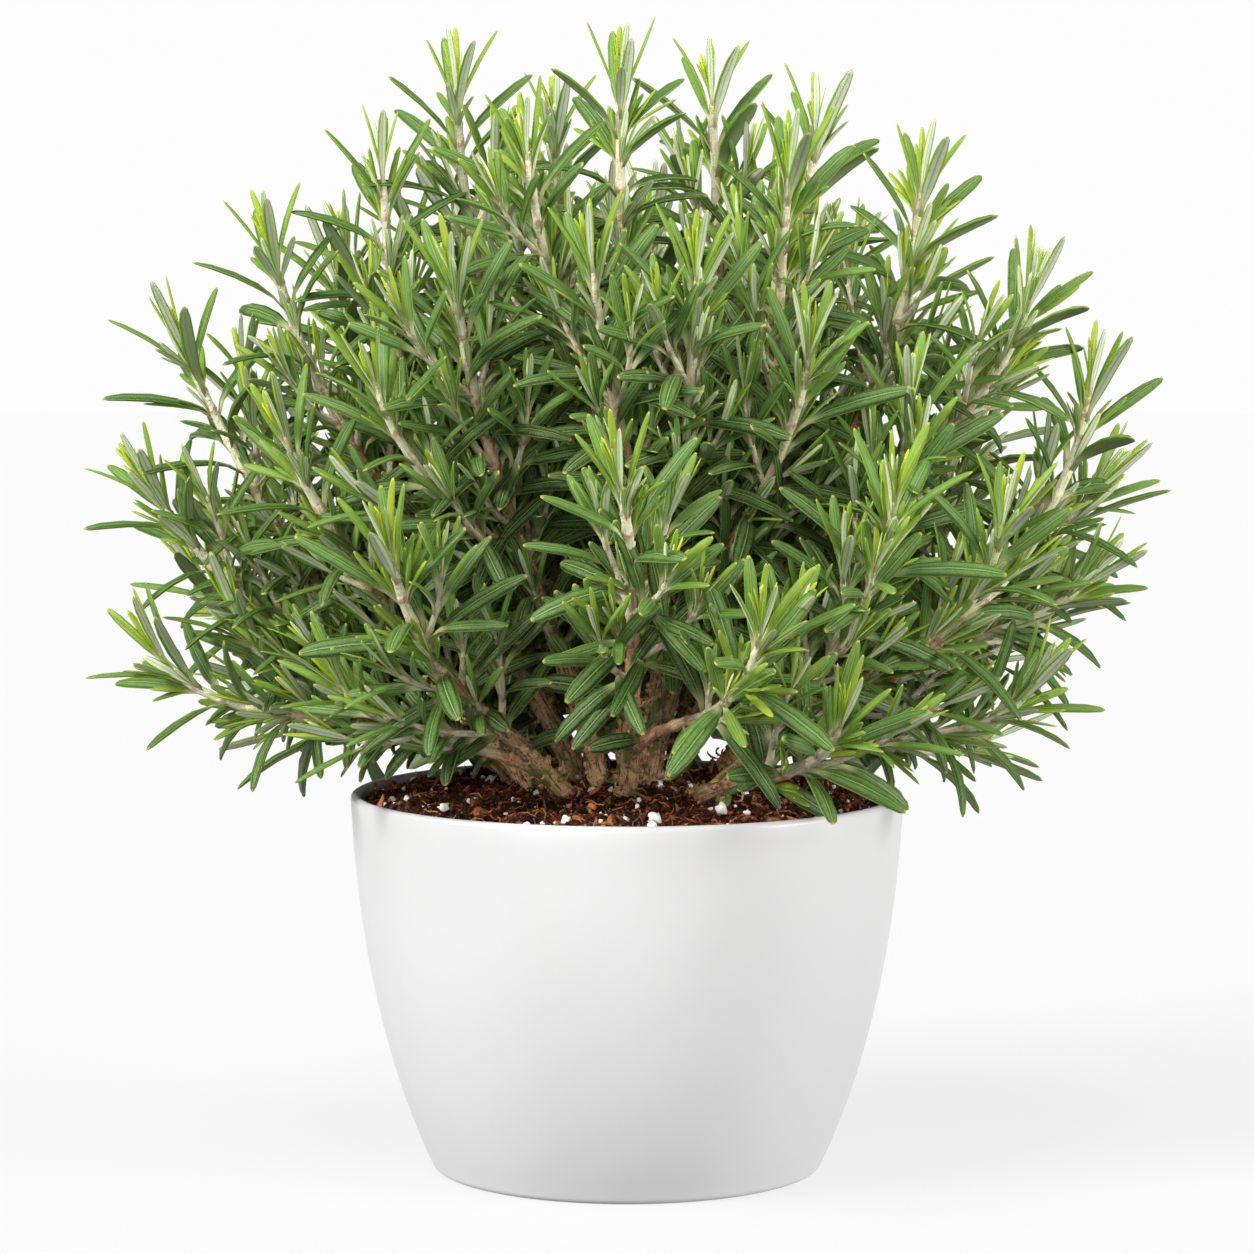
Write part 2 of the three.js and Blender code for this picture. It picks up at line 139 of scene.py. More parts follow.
class Finish:
    """A material made of nodes."""

    def __init__(self, name):
        self.material = bpy.data.materials.new(name)
        self.material.use_nodes = True
        self.tree = self.material.node_tree
        self.tree.nodes.clear()

    def add(self, kind, settings=None, inputs=None, output=0):
        """Adds a node, with its settings and the values or links of its sockets."""
        node = self.tree.nodes.new(kind)
        for name, value in (settings or {}).items():
            if name == "stops":
                spread_stops(node.color_ramp, value)
            else:
                setattr(node, name, value)
        for name, value in (inputs or {}).items():
            if isinstance(value, Wire):
                self.tree.links.new(value.socket, node.inputs[name])
            else:
                node.inputs[name].default_value = value
        return None if output is None else Wire(self, node.outputs[output])

    def parts(self, vector):
        """The three numbers of a vector."""
        first = self.add("ShaderNodeSeparateXYZ", None, {0: vector})
        return [Wire(self, socket) for socket in first.socket.node.outputs]

    def attribute(self, name):
        """Three values that the mesh carries at each vertex."""
        return self.add("ShaderNodeAttribute", {"attribute_name": name}, None, "Vector")

    def step(self, value, low, high):
        """0 below low, 1 above high, and a smooth rise between them."""
        inputs = {"Value": value, "From Min": low, "From Max": high}
        return self.add("ShaderNodeMapRange", {"interpolation_type": "SMOOTHSTEP"}, inputs)

    def mix(self, share, first, second):
        """A colour between two others."""
        return self.add("ShaderNodeMix", {"data_type": "RGBA"}, {0: share, 6: first, 7: second}, 2)

    def noise(self, place, scale, detail=2.0, swirl=0.0):
        inputs = {"Vector": place, "Scale": scale, "Detail": detail, "Distortion": swirl}
        return self.add("ShaderNodeTexNoise", None, inputs)

    def stretched(self, place, factors):
        """A place with each of its directions scaled."""
        return self.add("ShaderNodeMapping", None, {"Vector": place, "Scale": factors})

    def shaded(self, colour, value):
        """A colour made lighter or darker."""
        return self.add("ShaderNodeHueSaturation", None, {"Value": value, "Color": colour})

    def bump(self, height, strength, distance):
        inputs = {"Height": height, "Strength": strength, "Distance": distance}
        return self.add("ShaderNodeBump", None, inputs)

    def surface(self, **inputs):
        """Ends the graph in one surface shader."""
        named = {name.replace("_", " "): value for name, value in inputs.items()}
        shader = self.add("ShaderNodeBsdfPrincipled", None, named)
        self.add("ShaderNodeOutputMaterial", None, {"Surface": shader}, None)
        return self.material


def spread_stops(ramp, stops):
    """Puts colours along a ramp."""
    while len(ramp.elements) < len(stops):
        ramp.elements.new(0.5)
    for element, (position, colour) in zip(ramp.elements, stops):
        element.position = position
        element.color = colour


def paint(red, green, blue):
    """A colour as a screen shows it, 0 to 255, as the linear colour that shaders use."""
    channels = [value / 255 for value in (red, green, blue)]
    linear = [c / 12.92 if c <= 0.04045 else ((c + 0.055) / 1.055) ** 2.4 for c in channels]
    return (*linear, 1.0)


print("helper ready")

# %% [markdown]
# ## Shapes that are turned or swept
# The pot is round, so its outline is drawn once and spun about the axis. Stems, leaves and
# fibres are all tubes: a circle is extruded ring after ring, and then every ring is moved to
# its own place. A curve with a bevel could do this too, but rings can swell, flatten and
# carry values, such as how far along a leaf a vertex lies. Shapes that repeat are gathered
# in a heap that becomes one mesh, because thousands of objects would be slow.


# %% Turned and swept shapes
def turned(outline, segments):
    """A mesh spun about the axis from an outline of radii and heights, axis to axis."""
    bm = bmesh.new()
    points = [bm.verts.new((radius, 0, height)) for radius, height in outline]
    edges = [bm.edges.new(pair) for pair in zip(points, points[1:])]
    bmesh.ops.spin(
        bm, geom=points + edges, cent=(0, 0, 0), axis=(0, 0, 1), angle=math.tau,
        steps=segments, use_merge=True,
    )
    bmesh.ops.remove_doubles(bm, verts=bm.verts[:], dist=1e-6)
    bmesh.ops.recalc_face_normals(bm, faces=bm.faces[:])
    return bm


@functools.cache
def tube_faces(stations, sides):
    """The faces of a tube closed at both ends, as vertex numbers counted ring after ring."""
    bm = bmesh.new()
    number = bm.verts.layers.int.new("number")
    ring = bmesh.ops.create_circle(bm, cap_ends=True, segments=sides, radius=1)["verts"]
    for side, vert in enumerate(ring):
        vert[number] = side
    edges = bm.edges[:]
    for _ in range(stations - 1):
        grown = bmesh.ops.extrude_edge_only(bm, edges=edges)["geom"]
        fresh = [part for part in grown if isinstance(part, bmesh.types.BMVert)]
        bmesh.ops.translate(bm, verts=fresh, vec=(0, 0, 1))
        for vert in fresh:
            vert[number] += sides
        edges = [part for part in grown if isinstance(part, bmesh.types.BMEdge)]
    bmesh.ops.contextual_create(bm, geom=edges)
    bmesh.ops.recalc_face_normals(bm, faces=bm.faces[:])
    faces = sorted([vert[number] for vert in face.verts] for face in bm.faces)
    bm.free()
    return faces


class Heap:
    """Shapes gathered into one mesh, with named values at each vertex."""

    def __init__(self, *names):
        self.places = []
        self.faces = []
        self.values = {name: [] for name in names}
        self.count = 0

    def add(self, places, faces, **values):
        """Adds one shape: places is (vertices, 3) and each value (vertices, 3) or (3,)."""
        self.faces.extend([[self.count + corner for corner in face] for face in faces])
        self.places.append(places)
        for name, value in values.items():
            self.values[name].append(np.broadcast_to(value, places.shape))
        self.count += len(places)

    def add_copies(self, places, faces, **values):
        """Adds many copies of one shape: places is (copies, vertices, 3)."""
        for copy in range(len(places)):
            self.add(places[copy], faces, **{name: value[copy] for name, value in values.items()})

    def piece(self, name, finish, smooth=True):
        """The whole heap as one object."""
        mesh = bpy.data.meshes.new(name)
        mesh.from_pydata(np.concatenate(self.places), [], self.faces)
        for key, value in self.values.items():
            layer = mesh.attributes.new(key, "FLOAT_VECTOR", "POINT")
            layer.data.foreach_set("vector", np.concatenate(value).astype(np.float32).ravel())
        return finished(name, mesh, finish, smooth)


def finished(name, mesh, finish, smooth=True):
    """A mesh as an object in the scene, with its material."""
    mesh.polygons.foreach_set("use_smooth", [smooth] * len(mesh.polygons))
    mesh.materials.append(finish)
    piece = bpy.data.objects.new(name, mesh)
    bpy.context.scene.collection.objects.link(piece)
    return piece


def mesh_of(bm, name):
    """A bmesh turned into a mesh, with its faces in the same order on every run."""
    bm.verts.index_update()
    faces = sorted([vert.index for vert in face.verts] for face in bm.faces)
    mesh = bpy.data.meshes.new(name)
    mesh.from_pydata([vert.co for vert in bm.verts], [], faces)
    bm.free()
    return mesh


print("a tube of 3 rings with 6 sides has", len(tube_faces(3, 6)), "faces")

# %% [markdown]
# ## Pot
# The real pot is slip-cast ceramic with a white satin glaze. Its side is one long curve that
# widens to the rim, where the wall ends in a half-round. A cylinder with a modifier would
# miss that curve, so the outline is worked out as a curve and spun.

# %% Pot shape
_, pot_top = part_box("pot")
RIM_RADIUS = pot_top.x
POT_HEIGHT = pot_top.z
WALL = 3 * MM
FOOT_RADIUS = 58 * MM
FOOT_FILLET = 2.6 * MM  # height of the rounded edge of the foot
FOOT_CORNER = 2.7 * MM  # and its radius
POT_FLOOR = 5 * MM
FLOOR_RADIUS = 54 * MM
POT_SEGMENTS = 160

side_line = geometry.interpolate_bezier(
    Vector((FOOT_RADIUS + 1.1 * MM, FOOT_FILLET)),
    Vector((FOOT_RADIUS + 17 * MM, 0.34 * POT_HEIGHT)),
    Vector((RIM_RADIUS - 1.9 * MM, 0.66 * POT_HEIGHT)),
    Vector((RIM_RADIUS, POT_HEIGHT - WALL / 2)),
    26,
)


def wall_radius(height):
    """Radius of the outside of the pot at a height."""
    radii, heights = zip(*side_line)
    return float(np.interp(height, heights, radii))


def round_corner(radius, height, size, start, stop, steps):
    """Points of an arc about a centre, with its angles in degrees."""
    turns = [math.radians(start + (stop - start) * step / steps) for step in range(steps + 1)]
    return [(radius + size * math.cos(turn), height + size * math.sin(turn)) for turn in turns]


foot = [(0, 0), (FOOT_RADIUS - 4 * MM, 0)]
foot += round_corner(FOOT_RADIUS - 1.9 * MM, FOOT_CORNER, FOOT_CORNER, -90, -15, 6)
side = [(point.x, point.y) for point in side_line[1:]]
rim = round_corner(RIM_RADIUS - WALL / 2, POT_HEIGHT - WALL / 2, WALL / 2, 20, 180, 8)
inside = [(wall_radius(high * MM) - WALL, high * MM) for high in (100, 86, 68, 48, 27, 14)]
bottom = [(FLOOR_RADIUS, POT_FLOOR), (0, POT_FLOOR)]
pot_mesh = mesh_of(turned(foot + side + rim + inside + bottom, POT_SEGMENTS), "pot")
print("pot faces:", len(pot_mesh.polygons))

# %% [markdown]
# Satin glaze is nearly smooth. Its body is white, though the colour is set lower than full
# white, because lamps this strong would burn it out. A thin coat gives a soft reflection, and
# very low waves keep the reflection from looking like plastic. The underside of the foot is
# wiped clean before firing, so it shows the bare, rougher clay.

# %% Pot finish
glaze = Finish("pot_glaze")
clay_place = glaze.add("ShaderNodeTexCoord", output="Object")
_, _, clay_height = glaze.parts(clay_place)
bare = 1 - glaze.step(clay_height, 0.2 * MM, 0.7 * MM)
waves = glaze.noise(clay_place, 38, 3)
pores = glaze.noise(clay_place, 900, 2)
cloud = glaze.noise(clay_place, 14, 3)
white = glaze.mix(cloud, paint(216, 215, 215), paint(212, 211, 211))
glazed = glaze.mix(bare, white, paint(214, 200, 182))
glaze_finish = glaze.surface(
    Base_Color=glazed,
    Roughness=0.34 + 0.1 * waves + 0.4 * bare,
    Coat_Weight=0.35 - 0.35 * bare,
    Coat_Roughness=0.22,
    Normal=glaze.bump(waves + 0.04 * pores, 0.12, 1 * MM),
)
pot = finished("pot_glazed", pot_mesh, glaze_finish)
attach(pot, "root")
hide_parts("pot")
print("pot:", round(RIM_RADIUS * 2 / MM), "mm across its rim")

# %% [markdown]
# ## Soil
# Potting mix is a crumbly bed of dark coir and bark with springy fibres and white perlite.
# A flat disc with a bumpy material would look painted, because the eye sees it almost from
# the side. So the bed has real relief, and loose crumbs, slivers of bark, fibres and grains
# lie half sunk in it. The bed follows the mound of the solid model.

# %% Soil bed
SOIL_EDGE = 109 * MM
SOIL_MOUND = 6.6 * MM
SOIL_GRAIN = 0.9 * MM  # height of the lumps of the solid model
BED_RADIUS = RIM_RADIUS - WALL
BED_RELIEF = 2.6 * MM  # height of the finer crumbs
BED_RINGS = 52
BED_SEGMENTS = 190


def soil_height(x, y):
    """Height of the soil: a low mound with lumps, as in the solid model."""
    share = min(1.0, math.hypot(x, y) / BED_RADIUS)
    mound = SOIL_MOUND * math.cos(share * math.pi / 2)
    across, deep = x / MM, y / MM
    lumps = math.sin(across * 0.31 + 1.3 * math.sin(deep * 0.17))
    lumps *= math.cos(deep * 0.27 - 0.9 * math.sin(across * 0.13))
    return SOIL_EDGE + mound + SOIL_GRAIN * lumps * (1 - share**6)


def bed_height(x, y):
    """The soil's height with its crumbs."""
    share = min(1.0, math.hypot(x, y) / BED_RADIUS)
    place = Vector((x, y, 0)) / MM
    crumbs = noise.fractal(place * 0.15, 0.7, 2.1, 5) + 0.7 * abs(noise.noise(place * 0.4))
    return soil_height(x, y) + BED_RELIEF * crumbs * (1 - 0.6 * share**8)


bed_radii = [BED_RADIUS * (1 - step / BED_RINGS) for step in range(BED_RINGS + 1)]
bed_outline = [(0, POT_FLOOR), (FLOOR_RADIUS, POT_FLOOR)]
bed_outline += [(wall_radius(height * MM) - WALL, height * MM) for height in (27, 68, 100)]
bed_outline += [(radius, SOIL_EDGE) for radius in bed_radii]
bed = turned(bed_outline, BED_SEGMENTS)
for vert in bed.verts:
    if vert.co.z > SOIL_EDGE - 0.1 * MM:
        vert.co.z = bed_height(vert.co.x, vert.co.y)
bed_mesh = mesh_of(bed, "soil_bed")
print("soil bed faces:", len(bed_mesh.polygons))

# %% [markdown]
# Wet coir is dark red-brown, drier crumbs are paler, and hollows are nearly black. The same
# finish serves the bed, its crumbs and its fibres; each loose crumb carries its own tone.

# %% Soil finish
def soil_finish(name, loose):
    """Blotchy coir with pale strands; loose crumbs and fibres also vary from one to the next."""
    soil = Finish(name)
    place = soil.add("ShaderNodeTexCoord", output="Object")
    blotch = soil.noise(place, 160, 4)
    strand = soil.noise(soil.stretched(place, (500, 1400, 900)), 1.0, 3)
    light = paint(116, 56, 27) if loose else paint(74, 34, 15)
    earth = soil.mix(soil.step(blotch, 0.38, 0.66), paint(22, 10, 4), light)
    fleck = soil.mix(soil.step(strand, 0.57, 0.72), earth, paint(210, 144, 86))
    colour = fleck
    if loose:
        tone, _, _ = soil.parts(soil.attribute("crumb"))
        dried = soil.mix(soil.step(tone, 0.7, 1.0) * 0.7, fleck, paint(200, 126, 76))
        colour = soil.shaded(dried, 0.3 + 0.95 * tone)
    return soil.surface(
        Base_Color=colour,
        Roughness=0.5 + 0.3 * blotch,
        Specular_IOR_Level=0.25,
        Normal=soil.bump(strand + blotch, 0.9, 0.6 * MM),
    )


earth_finish = soil_finish("soil_bed", False)
crumb_finish = soil_finish("soil_crumb", True)
soil_bed = finished("soil_bed", bed_mesh, earth_finish)
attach(soil_bed, "root")
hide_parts("soil")
print("soil top:", round(bed_height(0, 0) / MM, 1), "mm")


# %% [markdown]
# Crumbs and grains are small balls, each squeezed, dented and turned its own way; a ball
# squeezed long and flat is a sliver of bark. A fibre is a thin tube along a curl. All are
# placed at random with a fixed seed, so every run of the lesson gives the same soil.

# %% Crumbs and white grains
@functools.cache
def ball(subdivisions):
    """Places and faces of a round ball of triangles."""
    bm = bmesh.new()
    bmesh.ops.create_icosphere(bm, subdivisions=subdivisions, radius=1)
    places = np.array([vert.co[:] for vert in bm.verts])
    faces = [[vert.index for vert in face.verts] for face in bm.faces]
    bm.free()
    return places, faces


def random_turns(count):
    """Random rotations, from random quaternions."""
    w, x, y, z = grain.normal(size=(4, count))
    size = np.sqrt(w * w + x * x + y * y + z * z)
    w, x, y, z = w / size, x / size, y / size, z / size
    rows = [
        [1 - 2 * (y * y + z * z), 2 * (x * y - w * z), 2 * (x * z + w * y)],
        [2 * (x * y + w * z), 1 - 2 * (x * x + z * z), 2 * (y * z - w * x)],
        [2 * (x * z - w * y), 2 * (y * z + w * x), 1 - 2 * (x * x + y * y)],
    ]
    return np.array(rows).transpose(2, 0, 1)


def scattered(heap, count, smallest, largest, flatness, subdivisions, rise, slimness=(0.6, 1)):
    """Strews dented balls over the soil: sizes from smallest to largest, most of them small."""
    places, faces = ball(subdivisions)
    sizes = smallest + (largest - smallest) * grain.random(count) ** 2.6
    dents = grain.uniform(0.62, 1.25, (count, len(places), 1))
    squeeze = [np.ones(count), grain.uniform(*slimness, count), grain.uniform(*flatness, count)]
    shapes = places * dents * np.stack(squeeze, axis=1)[:, None] * sizes[:, None, None] / 2
    shapes = np.einsum("cij,cvj->cvi", random_turns(count), shapes)
    radii = (BED_RADIUS - largest / 3) * np.sqrt(grain.random(count))
    turns = grain.uniform(0, math.tau, count)
    xs, ys = radii * np.cos(turns), radii * np.sin(turns)
    heights = [bed_height(x, y) + rise * size for x, y, size in zip(xs, ys, sizes)]
    shapes += np.stack([xs, ys, heights], axis=1)[:, None]
    tones = np.repeat(grain.random((count, 1, 3)), len(places), axis=1)
    heap.add_copies(shapes, faces, crumb=tones)


crumbs = Heap("crumb")
scattered(crumbs, 1900, 0.9 * MM, 3.8 * MM, (0.35, 0.8), 1, 0.12)
scattered(crumbs, 1300, 3 * MM, 10 * MM, (0.1, 0.24), 1, 0.1, (0.1, 0.32))
scattered(crumbs, 170, 3 * MM, 6.5 * MM, (0.4, 0.7), 2, 0.05)
crumb_piece = crumbs.piece("soil_crumbs", crumb_finish, False)
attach(crumb_piece, "root")
print("crumb faces:", len(crumb_piece.data.polygons))

# %% Perlite
perlite = Finish("perlite")
perlite_place = perlite.add("ShaderNodeTexCoord", output="Object")
pits = perlite.noise(perlite_place, 1500, 3)
stain = perlite.noise(perlite_place, 260, 3)
soiled = perlite.step(stain, 0.56, 0.78) * 0.7
perlite_finish = perlite.surface(
    Base_Color=perlite.mix(soiled, paint(253, 251, 247), paint(206, 184, 164)),
    Roughness=0.9,
    Normal=perlite.bump(pits, 0.6, 0.3 * MM),
)
grains = Heap("crumb")
scattered(grains, 320, 0.5 * MM, 2 * MM, (0.6, 0.95), 1, 0.8)
scattered(grains, 64, 2.2 * MM, 4.8 * MM, (0.5, 0.8), 2, 0.6)
perlite_piece = grains.piece("perlite_grains", perlite_finish)
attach(perlite_piece, "root")
print("perlite faces:", len(perlite_piece.data.polygons))


# %% Fibres
def frames_along(line):
    """Headings, and two directions square to them, at each place of a line."""
    headings = np.gradient(line, axis=0)
    headings /= np.linalg.norm(headings, axis=1, keepdims=True)
    sides = np.empty_like(line)
    side = np.cross(headings[0], (0, 0, 1) if abs(headings[0][2]) < 0.9 else (0, 1, 0))
    for station, heading in enumerate(headings):
        side = side - heading * side.dot(heading)
        side /= np.linalg.norm(side)
        sides[station] = side
    return headings, sides, np.cross(headings, sides)


def rings_round(line, radii, sides):
    """The rings of a tube along a line: (stations, sides, 3)."""
    _, right, front = frames_along(line)
    turns = np.arange(sides) * math.tau / sides
    circle = right[:, None] * np.cos(turns)[:, None] + front[:, None] * np.sin(turns)[:, None]
    return line[:, None] + circle * np.broadcast_to(np.asarray(radii), (len(line),))[:, None, None]


FIBRES = 1700
FIBRE_STATIONS = 9
fibres = Heap("crumb")
for _ in range(FIBRES):
    far = (BED_RADIUS - 4 * MM) * math.sqrt(dice.random())
    turn = dice.uniform(0, math.tau)
    length = dice.uniform(5, 17) * MM
    curl = dice.uniform(-3.2, 3.2)
    heading = dice.uniform(0, math.tau)
    hump = dice.uniform(0, 1.6) * MM
    x, y = far * math.cos(turn), far * math.sin(turn)
    line = []
    for station in range(FIBRE_STATIONS):
        share = station / (FIBRE_STATIONS - 1)
        line.append((x, y, bed_height(x, y) + 0.25 * MM + hump * math.sin(math.pi * share)))
        x += math.cos(heading + curl * share) * length / (FIBRE_STATIONS - 1)
        y += math.sin(heading + curl * share) * length / (FIBRE_STATIONS - 1)
        if math.hypot(x, y) > BED_RADIUS - 1 * MM:
            heading += math.pi * 0.8
    rings = rings_round(np.array(line), dice.uniform(0.1, 0.3) * MM, 4).reshape(-1, 3)
    fibres.add(rings, tube_faces(FIBRE_STATIONS, 4), crumb=(dice.uniform(0.25, 1), 0, 0))
fibre_piece = fibres.piece("soil_fibres", crumb_finish)
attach(fibre_piece, "root")
print("fibre faces:", len(fibre_piece.data.polygons))

# %% [markdown]
# ## Where the boughs grow
# The solid model has nineteen boughs. Their feet stand on rings round the crown; each first
# stem curves from its foot to its tip, and the others fork off it. The same places are
# repeated here, because the fine bough has to stand where its solid stands. Each stem is
# one smooth curve that leaves its start and meets its tip in given directions.

# %% Boughs
SEAT_SPACING = 11 * MM
HOLE_DEPTH = 15 * MM
BOUGH_RADIUS = 3.9 * MM  # at the foot of a bough
TWIG_RADIUS = 1.25 * MM  # just below a tip
BOUGH_SIDES, TWIG_SIDES, SHOOT_SIDES = 16, 10, 6
TIP_LEAVES = 16 * MM  # how far the youngest leaves reach beyond the wood
FORK_SHARE = 0.7  # a side stem's radius, as a share of its bough's at the fork


def leafy(tip, lean, fork=0.0, early=0.3, late=0.42):
    """A leafy stem: its tip in mm, its lean there, and how far up the first stem it forks."""
    # early and late: how long it keeps its first and its last direction
    upright = Vector((*lean, 1)).normalized()
    return {"tip": Vector(tip) * MM, "upright": upright, "fork": fork, "early": early, "late": late}


# Name: ring and turn of its foot, how steeply it leaves the soil, and its stems
BOUGHS = {
    "bough_middle": (0, 0, 88, [
        leafy((-2, 5, 340), (0, 0)),
        leafy((-31, -30, 319), (-0.12, -0.05), 0.4),
        leafy((-22, 58, 328), (0, 0.1), 0.3),
    ]),
    "bough_right_top": (1, 0, 82, [
        leafy((88, 0, 310), (0.06, 0)),
        leafy((48, -35, 313), (0.08, -0.1), 0.3),
        leafy((123, -8, 277), (0.26, 0), 0.38),
    ]),
    "bough_right_top_back": (1, 60, 84, [
        leafy((59, 60, 327), (0.06, 0.15)),
        leafy((25, 36, 337), (-0.04, 0.05), 0.35),
        leafy((92, 58, 286), (0.2, 0.15), 0.4),
    ]),
    "bough_left_top_back": (1, 120, 84, [
        leafy((-52, 28, 338), (-0.04, 0.05)),
        leafy((-38, 84, 306), (-0.05, 0.25), 0.36),
    ]),
    "bough_left_top": (1, 180, 80, [
        leafy((-109, 5, 290), (-0.22, 0)),
        leafy((-74, 12, 315), (-0.06, 0), 0.38),
        leafy((-93, 52, 284), (-0.2, 0.15), 0.42),
    ]),
    "bough_front_left_top": (1, 240, 80, [
        leafy((-51, -60, 281), (-0.12, -0.22)),
        leafy((-76, -64, 252), (-0.3, -0.25), 0.4),
    ]),
    "bough_front_top": (1, 300, 82, [
        leafy((20, -70, 284), (0.03, -0.2)),
        leafy((-11, -72, 286), (-0.08, -0.25), 0.34),
        leafy((53, -65, 262), (0.1, -0.25), 0.3),
    ]),
    "bough_right": (2, 0, 66, [
        leafy((140, 10, 250), (0.1, 0.05)),
        leafy((153, 32, 217), (0.7, 0.1), 0.42),
        leafy((148, 2, 190), (0.75, 0), 0.3, late=0.25),
    ]),
    "bough_front_right": (2, 330, 66, [
        leafy((110, -60, 214), (0.16, -0.25)),
        leafy((82, -45, 248), (0.04, -0.15), 0.3),
        leafy((126, -27, 162), (0.5, -0.1), 0.2, late=0.3),
    ]),
    "bough_front_right_low": (2, 300, 68, [
        leafy((63, -106, 159), (0.25, -0.5), late=0.3),
        leafy((76, -85, 221), (0.08, -0.35), 0.28, early=0.2),
    ]),
    "bough_front": (2, 270, 66, [
        leafy((-4, -113, 226), (-0.15, -0.4)),
        leafy((38, -123, 186), (0.1, -0.55), 0.22),
    ]),
    "bough_front_left": (2, 240, 64, [
        leafy((-68, -95, 206), (-0.15, -0.4)),
        leafy((-90, -62, 164), (-0.6, -0.35), 0.2, late=0.3),
    ]),
    "bough_left_low": (2, 210, 62, [
        leafy((-105, -40, 236), (-0.4, -0.15)),
        leafy((-145, -24, 171), (-0.55, -0.1), 0.17, late=0.3),
    ]),
    "bough_left": (2, 180, 66, [
        leafy((-150, 0, 218), (-0.6, 0)),
        leafy((-140, 12, 261), (-0.45, 0.05), 0.34),
        leafy((-120, -8, 182), (-0.3, -0.05), 0.26),
    ]),
    "bough_back_left": (2, 150, 66, [
        leafy((-118, 64, 238), (-0.3, 0.2)),
        leafy((-140, 50, 188), (-0.6, 0.25), 0.3),
        leafy((-116, 74, 142), (-0.7, 0.5), 0.18, late=0.25),
    ]),
    "bough_back_left_top": (2, 120, 70, [
        leafy((-72, 99, 258), (-0.15, 0.35)),
        leafy((-88, 114, 190), (-0.35, 0.5), 0.28),
        leafy((-52, 130, 142), (-0.2, 0.7), 0.18, late=0.25),
    ]),
    "bough_back": (2, 90, 70, [
        leafy((8, 94, 300), (0, 0.25)),
        leafy((-26, 136, 204), (-0.1, 0.5), 0.28),
        leafy((14, 140, 144), (0.1, 0.7), 0.18, late=0.25),
    ]),
    "bough_back_right_top": (2, 60, 70, [
        leafy((54, 102, 270), (0.15, 0.3)),
        leafy((46, 130, 204), (0.1, 0.5), 0.3),
        leafy((78, 118, 150), (0.4, 0.6), 0.19, late=0.25),
    ]),
    "bough_back_right": (2, 30, 66, [
        leafy((116, 66, 242), (0.25, 0.15)),
        leafy((96, 98, 210), (0.3, 0.4), 0.32),
        leafy((140, 58, 184), (0.5, 0.2), 0.26),
        leafy((124, 74, 136), (0.7, 0.5), 0.17, late=0.25),
    ]),
}
print("boughs:", len(BOUGHS), "stems:", sum(len(stems) for *_, stems in BOUGHS.values()))

# %% Stems
LINE_POINTS = 120
SWAY = 0.9 * MM  # how far a stem strays from its curve
SWAY_LENGTH = 22 * MM
POINTED = 14 * MM  # length over which the tip of a stem thins out


class Stem:
    """The middle line of a stem, from where it starts to the end of its wood."""

    def __init__(self, start, heading, end, end_heading, early, late, base, top):
        span = (end - start).length
        corners = (start, start + heading * span * early, end - end_heading * span * late, end)
        line = np.array(geometry.interpolate_bezier(*corners, LINE_POINTS))
        shares = np.linspace(0, 1, LINE_POINTS)
        # a stem is never quite straight
        row = dice.uniform(0, 99)
        places = [Vector((share * span / SWAY_LENGTH, row, 0)) for share in shares]
        sway = np.array([noise.noise_vector(place) for place in places])
        self.line = line + sway * np.sin(np.pi * shares)[:, None] * SWAY
        gaps = np.linalg.norm(np.diff(self.line, axis=0), axis=1)
        self.along = np.concatenate([[0], np.cumsum(gaps)])
        self.length = float(self.along[-1])
        self.headings, self.sides, _ = frames_along(self.line)
        self.base = base
        self.top = top

    def radius(self, along):
        """Radius of the wood: it tapers quickly at first, and comes to a point at the tip."""
        point = min(1, 0.3 + (self.length - along) / POINTED)
        return (self.base + (self.top - self.base) * (along / self.length) ** 0.58) * point

    def spot(self, along):
        """Place, heading and side direction at a distance along the stem."""
        high = int(np.clip(np.searchsorted(self.along, along), 1, LINE_POINTS - 1))
        low = high - 1
        past = (along - self.along[low]) / (self.along[high] - self.along[low])
        lines = (self.line, self.headings, self.sides)
        return [Vector(line[low]).lerp(Vector(line[high]), past) for line in lines]


def stems_of(ring, turn, rise, stems):
    """Every stem of a bough: the first from its foot in the soil, the others from forks on it."""
    first, *forks = stems
    angle, climb = math.radians(turn), math.radians(rise)
    foot = Vector((math.cos(angle), math.sin(angle), 0)) * ring * SEAT_SPACING
    away = (first["tip"] - foot).to_2d().normalized() * math.cos(climb)
    foot.z = soil_height(foot.x, foot.y) - HOLE_DEPTH
    heading = Vector((away.x, away.y, math.sin(climb)))
    grown = []
    for stem in stems:
        base = BOUGH_RADIUS
        start = foot
        if grown:
            along = grown[0].length * stem["fork"]
            start, heading, _ = grown[0].spot(along)
            heading = heading.lerp((stem["tip"] - start).normalized(), 0.45).normalized()
            base = FORK_SHARE * grown[0].radius(along)
        end = stem["tip"] - stem["upright"] * TIP_LEAVES
        ways = (start, heading, end, stem["upright"], stem["early"], stem["late"])
        grown.append(Stem(*ways, base, TWIG_RADIUS))
    return grown


boughs = {name: stems_of(*plan) for name, plan in BOUGHS.items()}
every_stem = [stem for stems in boughs.values() for stem in stems]
print("length of stems:", round(sum(stem.length for stem in every_stem), 2), "m")

# %% [markdown]
# ## How leaves stand
# Rosemary carries its leaves in pairs, each pair turned a quarter from the next. At the tip
# they are short, pale and nearly upright, and lower down they are longer, darker and spread
# wide. Each turns its upper side out of the bush, to the light. In the angle of many leaves
# sits a tuft of small ones, and some tufts have become side shoots. A particle system would
# strew leaves at random; here they are grown by these rules, from every tip downwards.

